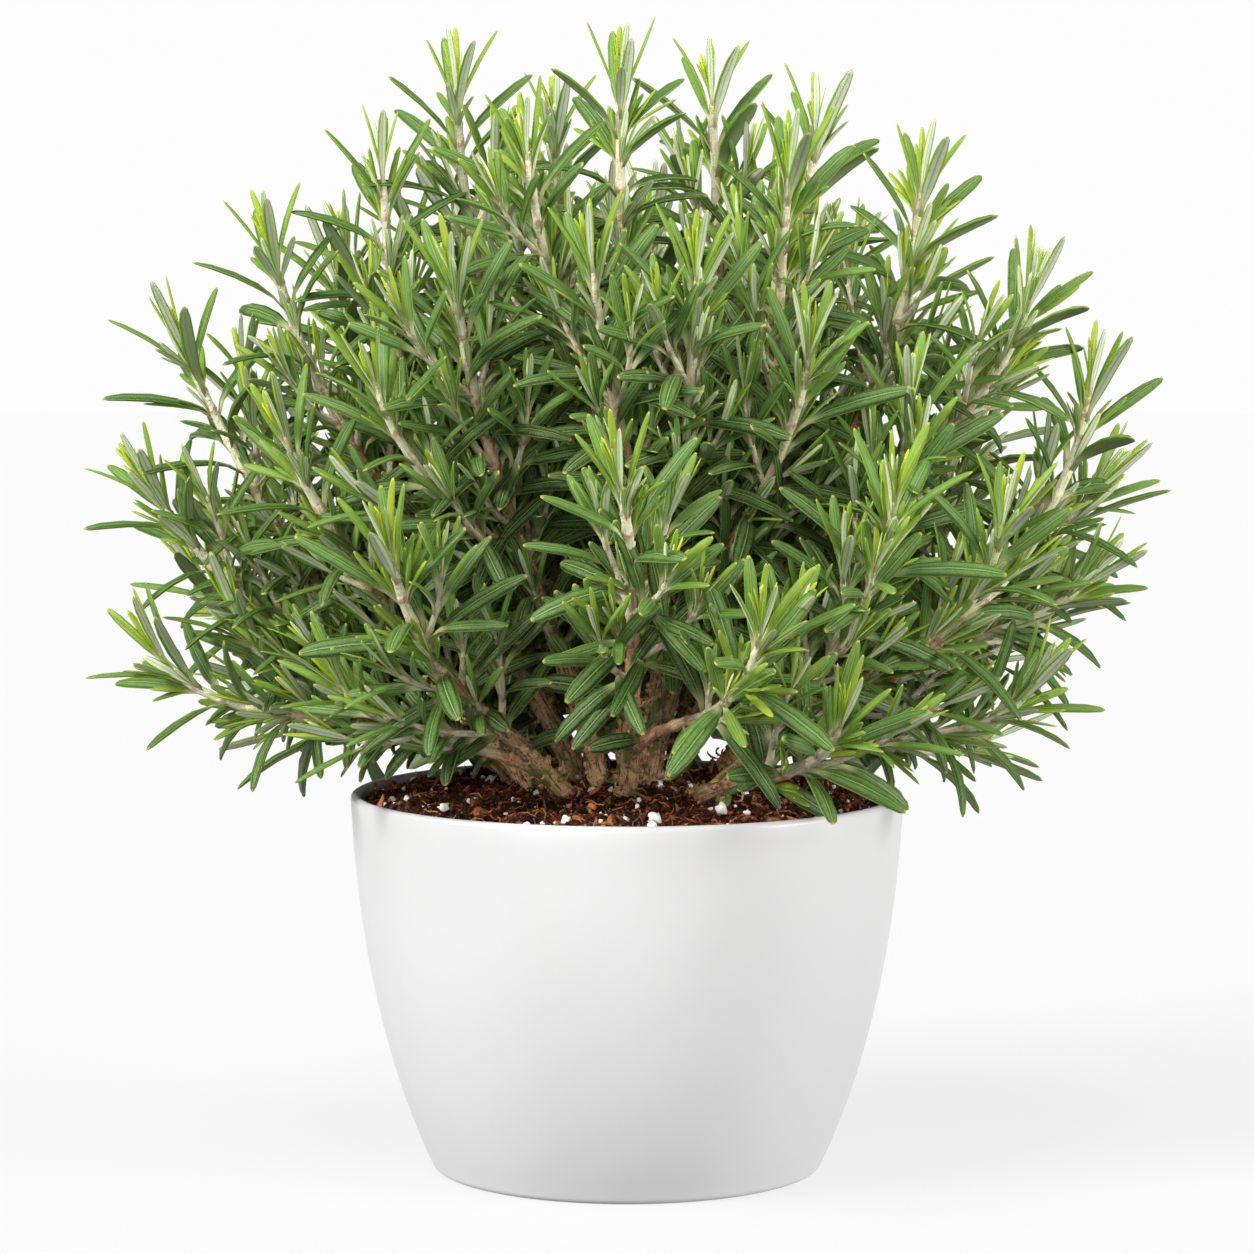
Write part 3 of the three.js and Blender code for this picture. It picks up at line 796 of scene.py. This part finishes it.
# %% Room for leaves
BUSH_RADIUS = 150 * MM
BUSH_HEIGHT = 335 * MM
BUSH_WIDE = (150 * MM, 185 * MM)  # between these heights the bush is widest
CORE_RADIUS = 135 * MM
CORE_HEIGHT = 170 * MM  # of the middle of the bush
HEART_TOP = 145 * MM
BACK_STARTS = 60 * MM  # behind this the plant faces the back
posts = [
    (Vector(place), stem.radius(along), number)
    for number, stem in enumerate(every_stem)
    for place, along in zip(stem.line[::2], stem.along[::2])
]
post_tree = kdtree.KDTree(len(posts))
for index, (place, _, _) in enumerate(posts):
    post_tree.insert(place, index)
post_tree.balance()


def clear_of_pot(point):
    """Whether a point is above the soil and clear of the rim."""
    radius = math.hypot(point.x, point.y)
    # well outside the rim a leaf may hang below it, except in front of the pot
    if radius > RIM_RADIUS + 13 * MM:
        return point.z > POT_HEIGHT + (1 * MM if point.y < -70 * MM else -13 * MM)
    if radius > RIM_RADIUS + 1 * MM:
        return point.z > POT_HEIGHT - 1 * MM
    if radius > BED_RADIUS - 3 * MM:
        return point.z > POT_HEIGHT + 2.5 * MM
    return point.z > soil_height(point.x, point.y) + 3 * MM


def clear_of_wood(point, own):
    """Whether a point is clear of every stem but its own."""
    for _, index, distance in post_tree.find_range(point, 5.5 * MM):
        _, radius, number = posts[index]
        if number != own and distance < radius + 0.8 * MM:
            return False
    return True


def has_room(points, own):
    """Whether all points are clear of the pot, the soil and other stems."""
    return all(clear_of_pot(point) and clear_of_wood(point, own) for point in points)


def in_the_bush(point):
    """Whether a point is inside the rounded outline of the whole plant."""
    low, top = BUSH_WIDE
    high = max(0.0, point.z - top) / (BUSH_HEIGHT - top)
    reach = BUSH_RADIUS - 1.1 * max(0.0, low - point.z)
    return (math.hypot(point.x, point.y) / reach) ** 2 + high**2 < 0.92


def inside_share(point):
    """How deep a point is inside the bush: 1 in its middle, 0 at its outline."""
    high = (point.z - CORE_HEIGHT) / CORE_HEIGHT
    return max(0.0, 1 - (math.hypot(point.x, point.y) / CORE_RADIUS) ** 2 - high**2)


def in_the_heart(point):
    """Whether a point is low at the front of the crown, where the old wood is bare."""
    far = math.hypot(point.x, point.y)
    # at the very front the gap between the boughs is higher
    before = point.y < -12 * MM and abs(point.x + 2 * MM) < 26 * MM and far < 80 * MM
    top = 150 * MM if before else HEART_TOP - 0.55 * max(0, far - 32 * MM)
    return point.y < 20 * MM and point.z < top


print("posts:", len(posts))


# %% Growing leaves
class Leaf:
    """A leaf: where it is rooted, how it points and bends, and what it looks like."""

    def __init__(self, root, heading, up, length, width, arch, age, stalk=Vector((0, 0, 0))):
        self.root, self.heading, self.up, self.stalk = root, heading, up, stalk
        self.length, self.width, self.arch, self.age = length, width, arch, age
        self.bow = dice.uniform(-0.07, 0.07)
        self.twist = dice.uniform(-0.35, 0.35)
        self.tone = dice.random()
        self.small = length < 17 * MM

    def point(self, share):
        """A point on the middle line."""
        bend = self.arch if abs(self.arch) > 1e-3 else 1e-3
        forward = math.sin(bend * share) / bend
        drop = (1 - math.cos(bend * share)) / bend
        return self.root + (self.heading * forward - self.up * drop) * self.length


def grown_leaf(stem, own, along, turn, opening, length, width, arch, age, bare=True):
    """A leaf on a stem, turned or raised until it has room; None if it never has."""
    place, tangent, side = stem.spot(along)
    front = tangent.cross(side)
    for attempt in range(6):
        swing = turn + (0, 0.3, -0.3, 0.6, -0.6, 0)[attempt]
        open_angle = math.radians(opening - 5 * attempt)
        out = side * math.cos(swing) + front * math.sin(swing)
        heading = tangent * math.cos(open_angle) + out * math.sin(open_angle)
        up = tangent * math.sin(open_angle) - out * math.cos(open_angle)
        root = place + out * stem.radius(along) * 0.75
        to_side = Vector((0, -0.8 if root.y < BACK_STARTS else 0.8, 0.6))
        outside = Vector((root.x, root.y, 0)).normalized() * 0.6 + to_side
        up = up + outside * (0.05 + 1.5 * age)
        up = (up - heading * up.dot(heading)).normalized()
        stalk = tangent * min(2.4 * MM, 0.12 * length)
        leaf = Leaf(root, heading, up, length, width, arch, age, stalk)
        points = [leaf.point(share) for share in (0.4, 0.7, 1.0)]
        if bare and in_the_heart(points[2]) and dice.random() < 0.87:
            continue
        if has_room(points, own):
            # deep inside the bush a leaf is made older and darker: partly real age, partly painted
            # shade
            leaf.age = min(1, age + 0.65 * inside_share(points[1]) ** 2.4)
            return leaf
    return None


def pairs_on(stem, bare, start=0.6 * MM):
    """Number and place of every pair of leaves, from the tip down to the bare part.

    The pairs are close together at the tip, and about 10 mm apart lower down.
    """
    below, index = start, 0
    while stem.length - below > bare:
        yield index, stem.length - below
        below += (1.5 + 8.6 * min(1, index / 5) ** 1.2) * MM * dice.uniform(0.86, 1.12)
        index += 1


def grow_pair(stem, own, index, along, leaves, vigour=1.0, thin=0.0):
    """One pair of leaves. Old pairs are darker, droop more, and may have fallen."""
    ripe = min(1, index / 6.5)
    depth = min(1, (stem.length - along) / (170 * MM))
    turn = index * math.pi / 2 + 0.12 * index + dice.uniform(-0.2, 0.2)
    foot = stem.spot(along)[0]
    # leaves near the crown are short, so that the old wood shows
    near = 0.58 if foot.z < HEART_TOP and math.hypot(foot.x, foot.y) < 88 * MM else 1
    grown = min(1, index / 5)
    # sizes in mm: 14 by 1.4 at the tip of a stem, and 34 by 6 below
    for way in (0, math.pi):
        if dice.random() < thin:
            continue
        opening = 4 + 54 * ripe**1.15 + 24 * depth + dice.uniform(-6, 9) * (0.3 + ripe)
        length = (14 + 20.5 * grown**0.7) * (1 - 0.28 * depth)
        length *= dice.uniform(0.88, 1.1) * vigour * near
        width = (1.4 + 4.3 * grown) * dice.uniform(0.9, 1.08) * (0.5 + 0.5 * vigour)
        arch = -0.1 + 0.6 * ripe + 0.4 * depth + dice.uniform(-0.12, 0.25)
        age = min(1, 0.62 * min(1, index / 4.5) + 0.55 * depth)
        size = (length * MM, width * MM)
        leaf = grown_leaf(stem, own, along, turn + way, opening, *size, arch, age)
        if leaf:
            leaves.append(leaf)
    return turn


ANGLE_TUFT = {"opening": (8, 54), "lengths": (8, 20), "ages": (0.1, 0.45)}
TIP_TUFT = {"opening": (2, 14), "lengths": (8, 16), "ages": (0, 0.15)}


def grow_tuft(stem, own, along, turn, leaves, opening, lengths, ages):
    """Three to five small young leaves in the angle of a leaf, and more inside the bush."""
    inner = round(4 * inside_share(stem.spot(along)[0]))
    for _ in range(dice.choice((3, 4, 4, 5)) + inner):
        length = dice.uniform(*lengths)
        leaf = grown_leaf(
            stem, own, along, turn + dice.uniform(-0.6, 0.6), dice.uniform(*opening), length * MM,
            (0.9 + 0.11 * length) * MM, dice.uniform(-0.2, 0.4), dice.uniform(*ages),
        )
        if leaf:
            leaves.append(leaf)


def grow_bud(stem, own, along, turn, leaves):
    """A few tiny leaves straight from old wood."""
    for _ in range(dice.choice((1, 2, 3))):
        leaf = grown_leaf(
            stem, own, along, turn + dice.uniform(-1.5, 1.5), dice.uniform(30, 110),
            dice.uniform(4, 10) * MM, dice.uniform(1.5, 2.6) * MM,
            dice.uniform(-0.5, 1.2), dice.uniform(0.3, 0.8), bare=False,
        )
        if leaf:
            leaves.append(leaf)


def side_shoot(stem, own, along, turn, reach):
    """A short leafy shoot from a stem, or None where it would leave the bush or hit wood."""
    place, tangent, side = stem.spot(along)
    out = side * math.cos(turn) + tangent.cross(side) * math.sin(turn)
    heading = (tangent + out * dice.uniform(0.7, 1.1)).normalized()
    final = (tangent + out * 0.35 + Vector((0, 0, 0.45))).normalized()
    end = place + (heading * 0.6 + final * 0.4).normalized() * reach
    tip = end + final * 18 * MM
    checks = [place.lerp(end, share) for share in (0.5, 0.75, 1.0)] + [tip]
    if in_the_heart(tip) or not in_the_bush(tip) or not has_room(checks, own):
        return None
    radius = min(1.3 * MM, FORK_SHARE * stem.radius(along))
    return Stem(place, heading, end, final, 0.35, 0.35, radius, 0.75 * MM)


def grow_shoot(shoot, own, leaves):
    """Pairs of leaves on a side shoot. Gives the places of its nodes."""
    nodes = []
    for index, along in pairs_on(shoot, 2.5 * MM, 0.4 * MM):
        grow_pair(shoot, own, index, along, leaves, 0.78)
        nodes.append(along)
    return nodes


SHOOTS_FROM = 6  # pairs below the tip
SHOOT_CHANCE = 0.66
YOUNG_TUFTS, OLD_TUFTS = 0.6, 0.95  # chance of a tuft above and below the first shoot


def grow(stems, first_number):
    """All leaves and shoots of a bough. Gives the leaves, and all wood with its nodes."""
    leaves, wood = [], []
    for place, stem in enumerate(stems):
        own = first_number + place
        bare = HOLE_DEPTH + 0.16 * stem.length if place == 0 else 12 * MM
        nodes = []
        for index, along in pairs_on(stem, bare):
            share = along / stem.length
            thin = max(0.0, 0.6 - 2 * share) if place == 0 else max(0.0, 0.3 - 2.5 * share)
            if in_the_heart(stem.spot(along)[0]):
                thin = 0.85
            turn = grow_pair(stem, own, index, along, leaves, thin=thin)
            nodes.append(along)
            if thin > 0.8 and dice.random() < 0.5:
                grow_bud(stem, own, along, turn, leaves)
            if index == 0:
                grow_tuft(stem, own, along, turn, leaves, **TIP_TUFT)
            if index < 3 or thin > 0.8:
                continue
            for way in (0, math.pi):
                chance = dice.random()
                if index >= SHOOTS_FROM and chance < SHOOT_CHANCE:
                    shoot = side_shoot(stem, own, along, turn + way, dice.uniform(6, 40) * MM)
                    if shoot:
                        wood.append((shoot, grow_shoot(shoot, own, leaves), SHOOT_SIDES))
                elif chance < (YOUNG_TUFTS if index < SHOOTS_FROM else OLD_TUFTS):
                    grow_tuft(stem, own, along, turn + way, leaves, **ANGLE_TUFT)
        wood.append((stem, nodes, BOUGH_SIDES if place == 0 else TWIG_SIDES))
    return leaves, wood


plants = {}
stem_count = 0
for name, stems in boughs.items():
    plants[name] = grow(stems, stem_count)
    stem_count += len(stems)
print("leaves:", sum(len(leaves) for leaves, _ in plants.values()))
print("lengths of wood:", sum(len(wood) for _, wood in plants.values()))

# %% [markdown]
# ## One leaf, many times
# A rosemary leaf is a narrow strap, arched like a roof tile, with a groove along its middle
# and margins rolled under. One straight leaf is swept as a tube whose rings have eight
# corners: two margins, two shoulders, the groove, and three below. Every real leaf is that
# shape, bent along its own arch by numpy. Its corners also carry where they are on the leaf,
# because margin, midrib and felted underside have colours of their own, and the upper side
# gets a painted shade along its groove and a painted sheen on its shoulders.

# %% Leaf shape
# Across the leaf, in shares of half its width: how far from the middle, and how high
LEAF_RING = [
    (-1, 0), (-0.8, -0.24), (0, -0.06), (0.8, -0.24), (1, 0), (0.56, 0.34), (0, 0.2), (-0.56, 0.34),
]
LEAF_UNDER = [0.5, 1, 1, 1, 0.5, 0, 0, 0]  # 1 below, 0 above
# Along the leaf: share of its length, and of its width
LEAF_PROFILE = [
    (0, 0.24), (0.12, 0.4), (0.31, 0.86), (0.56, 1.0), (0.81, 0.9), (0.95, 0.58), (1, 0.18),
]
SMALL_PROFILE = [(0, 0.35), (0.25, 0.8), (0.6, 1.0), (0.91, 0.7), (1, 0.16)]


def bent_leaves(leaves, profile):
    """Places and values of the corners of many leaves."""
    shares, widths = np.array(profile).T
    ring = np.array(LEAF_RING)

    def column(key):
        return np.array([getattr(leaf, key) for leaf in leaves])[:, None]

    def arrow(key):
        return np.array([getattr(leaf, key)[:] for leaf in leaves])[:, None]

    length, arch = column("length"), column("arch")
    arch = np.where(abs(arch) < 1e-3, 1e-3, arch)
    heading, up = arrow("heading"), arrow("up")
    right = np.cross(up, heading)
    bend = arch * shares
    forward = (length * np.sin(bend) / arch)[..., None]
    drop = (length * (1 - np.cos(bend)) / arch)[..., None]
    sway = (column("bow") * length * shares**2)[..., None]
    # the stalk hugs the stem before the blade turns outwards
    hug = arrow("stalk") * (np.maximum(0, 1 - shares / 0.2) ** 2)[:, None]
    middle = arrow("root") + heading * forward - up * drop + right * sway - hug
    normal = up * np.cos(bend)[..., None] + heading * np.sin(bend)[..., None]
    turn = (column("twist") * shares)[..., None]
    across = right * np.cos(turn) + normal * np.sin(turn)
    above = normal * np.cos(turn) - right * np.sin(turn)
    half = (column("width") / 2 * widths)[..., None, None]
    aside = across[:, :, None] * ring[:, :1] + above[:, :, None] * ring[:, 1:]
    places = middle[:, :, None] + half * aside
    where = np.zeros((len(shares), len(ring), 3))
    where[..., 0] = ring[:, 0]
    where[..., 1] = shares[:, None]
    where[..., 2] = LEAF_UNDER
    kind = np.concatenate([column("age"), column("tone"), column("twist") + 0.5], axis=1)[:, None]
    corners = len(shares) * len(ring)
    where = np.broadcast_to(where.reshape(1, corners, 3), (len(leaves), corners, 3))
    return places.reshape(len(leaves), corners, 3), where, np.broadcast_to(kind, where.shape)


print("corners of a leaf:", len(LEAF_PROFILE) * len(LEAF_RING))

# %% [markdown]
# The upper side is green, from yellow-green at the tips of the stems to a deep green inside
# the bush, partly from age and partly as painted shade. Its finely pebbled skin has pale dots
# that are painted glints, a pale midline in its groove with painted shade beside it, a painted
# sheen on its shoulders, and a pale thin margin.
# The underside is felted silver-grey between green rolled margins, and greener on old
# leaves. The stalk is cream and the tip of the leaf a little ochre.

# %% Leaf finish
leaf = Finish("rosemary_leaf")
across, along, under = leaf.parts(leaf.attribute("leaf_place"))
age, tone, _ = leaf.parts(leaf.attribute("leaf_kind"))
leaf_spot = leaf.add("ShaderNodeTexCoord", output="Object")
aside = abs(across)
below = leaf.step(under, 0.48, 0.52)
pebbles = leaf.add("ShaderNodeTexVoronoi", None, {"Vector": leaf_spot, "Scale": 2400})
mottle = leaf.noise(leaf_spot, 420, 3)
greens = [
    (0.0, paint(202, 208, 56)), (0.2, paint(138, 162, 44)), (0.42, paint(95, 129, 46)),
    (0.68, paint(63, 97, 41)), (1.0, paint(27, 44, 17)),
]
green = leaf.add("ShaderNodeValToRGB", {"stops": greens}, {"Fac": age + 0.14 * (tone - 0.5)})
green = leaf.shaded(green, 0.66 + 0.4 * tone + 0.34 * mottle)
# pale dots on the pebbled skin are painted glints, more of them on older leaves
glint_dots = 1 - leaf.step(pebbles, 0.1, 0.5)
upper = leaf.mix(glint_dots * 0.3 * age, green, paint(172, 196, 116))
# a painted sheen along both shoulders of the upper side
shoulder_sheen = leaf.step(aside, 0.16, 0.36) * (1 - leaf.step(aside, 0.56, 0.8))
upper = leaf.mix(shoulder_sheen * (0.06 + 0.3 * mottle), upper, paint(150, 186, 96))
# painted shade along the groove of the upper side; below, the same band is the green midrib
groove_shade_and_midrib = 1 - leaf.step(aside, 0.05, 0.2)
upper = leaf.mix(groove_shade_and_midrib * 0.1, upper, paint(40, 70, 28))
midline = 1 - leaf.step(aside, 0.0, 0.1)
upper = leaf.mix(midline * 0.55, upper, paint(176, 202, 126))
margin = leaf.mix(age, paint(182, 200, 70), paint(150, 178, 84))
upper = leaf.mix(leaf.step(aside, 0.88, 0.97) * 0.7, upper, margin)

felt = leaf.mix(leaf.noise(leaf_spot, 900, 2), paint(210, 218, 180), paint(242, 245, 224))
felt = leaf.mix(leaf.step(age + 0.3 * tone, 0.52, 1.0) * 0.8, felt, paint(100, 130, 62))
lower = leaf.mix(groove_shade_and_midrib * 0.5, felt, paint(128, 150, 90))
rolled = leaf.mix(age, paint(158, 196, 56), paint(70, 108, 40))
lower = leaf.mix(leaf.step(aside, 0.58, 0.8), lower, rolled)

skin = leaf.mix(below, upper, lower)
stalk = leaf.mix(age, paint(226, 228, 178), paint(180, 186, 124))
skin = leaf.mix(1 - leaf.step(along, 0.05, 0.26), skin, stalk)
skin = leaf.mix(leaf.step(along, 0.965, 1.0) * 0.7, skin, paint(200, 184, 84))
leaf_finish = leaf.surface(
    Base_Color=skin,
    Roughness=0.3 + 0.45 * below + 0.16 * pebbles,
    Specular_IOR_Level=0.2,
    Normal=leaf.bump((pebbles + mottle) * (0.2 + 0.8 * age), 0.5, 0.2 * MM),
)
print("leaf finish ready")

# %% [markdown]
# ## Wood
# A stem is green at its tip and then pale cream. With age it turns tan and brown, keeps a
# ring where each pair of leaves stood, and cracks lengthwise; at the crown the bark is
# wrinkled and peeling, with greenish patches. Rings and large wrinkles are real relief;
# cracks and fine wrinkles are colour and bump. Their low parts are darkened, partly darker
# bark and partly painted shade, and their raised parts lightened, partly paler bark and
# partly a painted highlight; the hollows of the real relief get painted shade, and wood
# deep inside the bush is browner, partly older and partly as painted shade. The finish
# reads how far along and round the stem it is, so that cracks follow every curve.

# %% Wood finish
bark = Finish("rosemary_wood")
straight = bark.attribute("wood_place")
age, scar, hollow_shade = bark.parts(bark.attribute("wood_kind"))
tone, _, _ = bark.parts(bark.attribute("wood_tone"))
cracks = bark.noise(bark.stretched(straight, (1500, 1500, 170)), 1.0, 4, 0.4)
wrinkles = bark.noise(bark.stretched(straight, (360, 360, 560)), 1.0, 3, 2.4)
patches = bark.noise(bark.stretched(straight, (220, 220, 120)), 1.0, 3)
woods = [
    (0.0, paint(176, 194, 100)), (0.1, paint(238, 236, 204)), (0.4, paint(230, 214, 178)),
    (0.58, paint(212, 154, 110)), (1.0, paint(234, 186, 134)),
]
wood = bark.add("ShaderNodeValToRGB", {"stops": woods}, {"Fac": age + 0.3 * (patches - 0.5)})
wood = bark.shaded(wood, 0.8 + 0.3 * tone)
old = bark.step(age, 0.3, 0.9)
worn = bark.step(patches, 0.36, 0.56)
ring = bark.mix(age, paint(176, 104, 72), paint(84, 56, 36))
for share, colour in (
    # low parts of cracks and wrinkles: darker bark with painted shade; raised parts: paler bark
    # with a painted highlight
    ((1 - bark.step(cracks, 0.34, 0.5)) * (0.15 + 0.75 * age), paint(58, 40, 26)),
    (bark.step(cracks, 0.55, 0.7) * 0.5, paint(232, 214, 182)),
    ((1 - bark.step(wrinkles, 0.36, 0.46)) * old * 0.55, paint(64, 42, 26)),
    (bark.step(wrinkles, 0.55, 0.66) * old * 0.6, paint(226, 194, 148)),
    (bark.step(patches, 0.52, 0.62) * bark.step(age, 0.3, 0.8) * 0.8, paint(102, 122, 48)),
    (bark.step(scar, 0.15, 0.6) * worn * 0.6, ring),
    (bark.step(scar, 0.6, 1.0) * (1 - worn) * 0.7, paint(224, 208, 172)),
    # painted shade in the hollows of the bark's real relief
    (bark.step(hollow_shade, 0.3, 0.8) * 0.75, paint(48, 34, 22)),
):
    wood = bark.mix(share, wood, colour)
wood_finish = bark.surface(
    Base_Color=wood,
    Roughness=0.75,
    Normal=bark.bump(cracks + 1.3 * wrinkles, 0.8, 0.6 * MM),
)
print("wood finish ready")

# %% Wood shape
NODE_RINGS = (-1.5 * MM, -0.5 * MM, 0.35 * MM, 1.2 * MM)
RING_GAP = 3.2 * MM
OLD_RING_GAP = 0.7 * MM
AGEING = 165 * MM  # a stem is fully brown this far below its tip
CURLS = 45  # strips of bark on a bough


def stations_of(stem, nodes):
    """Where the rings of a stem lie: closer on old wood, and close together about each node."""
    wanted = list(np.arange(0, stem.length, RING_GAP)) + [stem.length]
    if stem.base > 2.2 * MM:
        old_share = 0.5 if stem.base > 3 * MM else 0.3
        wanted += list(np.arange(0, old_share * stem.length, OLD_RING_GAP))
    wanted += [node + offset for node in nodes for offset in NODE_RINGS]
    kept = []
    for station in sorted(wanted):
        if 0 <= station <= stem.length and (not kept or station - kept[-1] > 0.4 * MM):
            kept.append(station)
    return kept


def add_wood(heap, stem, nodes, sides):
    """A stem as a tube, with scars askew at its nodes and rougher bark where it is thick."""
    turns = np.arange(sides) * math.tau / sides
    tone = dice.random()
    rings, straight, kinds = [], [], []
    knot = dice.uniform(0, 99)
    stations = stations_of(stem, nodes)
    node_places = np.array(nodes or [-1.0])
    node_turns = np.arange(len(node_places)) * math.pi / 2
    for station in stations:
        place, heading, side = stem.spot(station)
        front = heading.cross(side)
        radius = stem.radius(station)
        old = min(1, max(0, (radius - TWIG_RADIUS) / (BOUGH_RADIUS - TWIG_RADIUS)))
        aged = max((stem.length - station) / AGEING, (radius - TWIG_RADIUS) / (1.6 * MM))
        # deeper inside the bush the wood is browner and darker: partly older wood, partly painted
        # shade
        aged = min(1, aged + 0.25 * inside_share(place))
        for turn in turns:
            across, deep = math.cos(turn), math.sin(turn)
            askew = node_places + np.cos(2 * (turn - node_turns)) * 0.7 * MM - station
            scar = float(np.exp(-((askew / (0.8 * MM)) ** 2)).sum())
            high = station / (4.5 * MM) + 9 * tone
            wrinkle = noise.noise(Vector((across * 1.6, deep * 1.6, high)))
            ridge = noise.noise(Vector((across * 1.5, deep * 1.5 + knot, station / (1.5 * MM))))
            relief = 0.24 * min(1, scar) + (0.05 + 0.26 * old) * wrinkle + 0.34 * old**2 * ridge
            reach = radius * (1 + relief)
            rings.append(place + (side * across + front * deep) * reach)
            straight.append((radius * across, radius * deep, station + tone))
            # the third value: how deep the bark lies in a hollow of its relief, where the finish
            # paints shade
            kinds.append((aged, min(1, scar), max(0, -1.6 * old * (ridge + 0.5 * wrinkle))))
    heap.add(
        np.array(rings), tube_faces(len(stations), sides),
        wood_place=np.array(straight), wood_kind=np.array(kinds), wood_tone=(tone, 0, 0),
    )


def bark_curls(stem):
    """Thin strips of old bark that curl away from the foot of a bough."""
    curls = []
    for _ in range(CURLS):
        along = HOLE_DEPTH + 0.34 * stem.length * dice.random() ** 1.4
        place, tangent, side = stem.spot(along)
        turn = dice.uniform(0, math.tau)
        out = side * math.cos(turn) + tangent.cross(side) * math.sin(turn)
        heading = tangent * dice.uniform(-1, 1) + tangent.cross(out) * dice.uniform(-1, 1)
        heading = (heading + out * 0.3).normalized()
        up = (out - heading * out.dot(heading)).normalized()
        root = place + out * stem.radius(along) * 0.85
        length = dice.uniform(2.5, 7) * MM
        width = dice.uniform(0.7, 1.7) * MM
        curls.append(Leaf(root, heading, up, length, width, dice.uniform(-6, -2), 0.8))
    return curls


for name, (leaves, wood) in plants.items():
    trunk = Heap("wood_place", "wood_kind", "wood_tone")
    for stem, nodes, sides in wood:
        add_wood(trunk, stem, nodes, sides)
    places, _, kind = bent_leaves(bark_curls(boughs[name][0]), LEAF_PROFILE)
    trunk.add_copies(
        places, tube_faces(len(LEAF_PROFILE), len(LEAF_RING)),
        wood_place=places, wood_kind=kind * (1, 0, 0), wood_tone=kind[..., (1, 1, 1)],
    )
    wood_piece = trunk.piece(name + "_wood", wood_finish)
    foliage = Heap("leaf_place", "leaf_kind")
    for profile, chosen in (
        (LEAF_PROFILE, [leaf for leaf in leaves if not leaf.small]),
        (SMALL_PROFILE, [leaf for leaf in leaves if leaf.small]),
    ):
        places, where, kind = bent_leaves(chosen, profile)
        faces = tube_faces(len(profile), len(LEAF_RING))
        foliage.add_copies(places, faces, leaf_place=where, leaf_kind=kind)
    leaf_piece = foliage.piece(name + "_leaves", leaf_finish)
    for piece, slot in ((wood_piece, "bark"), (leaf_piece, "foliage")):
        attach(piece, "root")
        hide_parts(name)
    print(name, len(leaves), "leaves,", len(wood_piece.data.polygons), "faces of wood")

# %% [markdown]
# ## Floor and light
# The photograph was taken in a white studio: the light comes from all round, a little more
# from the left, and only a soft shadow shows on the floor. A bright white sky alone would
# light the hollows between the leaves as well, so the camera sees a bright sky, but only a
# dim one gives light. Five suns with soft edges do the rest, the strongest from the left.
# The floor glows by itself, to be as white as the sky, and is hidden from the light that
# other surfaces gather, because leaves lit from below would look flat.

# %% Floor and light
floor_bm = bmesh.new()
bmesh.ops.create_grid(floor_bm, x_segments=1, y_segments=1, size=6)
paper = Finish("studio_floor")
floor_finish = paper.surface(
    Base_Color=(0.1, 0.1, 0.1, 1),
    Roughness=1.0,
    Specular_IOR_Level=0.0,
    Emission_Color=(1, 1, 1, 1),
    Emission_Strength=0.8,
)
floor = finished("studio_floor", mesh_of(floor_bm, "studio_floor"), floor_finish)
floor.visible_diffuse = False
floor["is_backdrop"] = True

scene = bpy.context.scene
scene.view_settings.view_transform = "Standard"
scene.world = bpy.data.worlds.new("studio")
scene.world.use_nodes = True
sky = scene.world.node_tree
sky.nodes["Background"].inputs["Color"].default_value = (1, 1, 1, 1)
seen = sky.nodes.new("ShaderNodeLightPath").outputs["Is Camera Ray"]
strength = sky.nodes.new("ShaderNodeMapRange")
strength.inputs["To Min"].default_value = 0.15
strength.inputs["To Max"].default_value = 0.98
sky.links.new(seen, strength.inputs["Value"])
sky.links.new(strength.outputs["Result"], sky.nodes["Background"].inputs["Strength"])


def soft_sun(name, come_from, spread, strength):
    """A lamp so far away that it lights the whole floor alike, with soft-edged shadows."""
    lamp = bpy.data.objects.new(name, bpy.data.lights.new(name, "SUN"))
    lamp.data.angle = math.radians(spread)
    lamp.data.energy = strength
    lamp.rotation_euler = (-Vector(come_from)).to_track_quat("-Z", "Y").to_euler()
    scene.collection.objects.link(lamp)


soft_sun("sun_left", (-1.3, -0.7, 0.8), 20, 3.4)
soft_sun("sun_right", (1.0, -0.35, 0.25), 30, 2.8)
soft_sun("sun_front", (0.0, -1.0, 0.12), 40, 1.15)
soft_sun("sun_top", (-0.2, -0.35, 1.0), 30, 2.3)
soft_sun("sun_back", (0.1, 0.6, 1.0), 40, 0.2)
print("lamps:", len(bpy.data.lights))

# %% Sizes
boxes = {"cad": cad_box, "scene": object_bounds()}
{name: [list(corner) for corner in box] for name, box in boxes.items()}
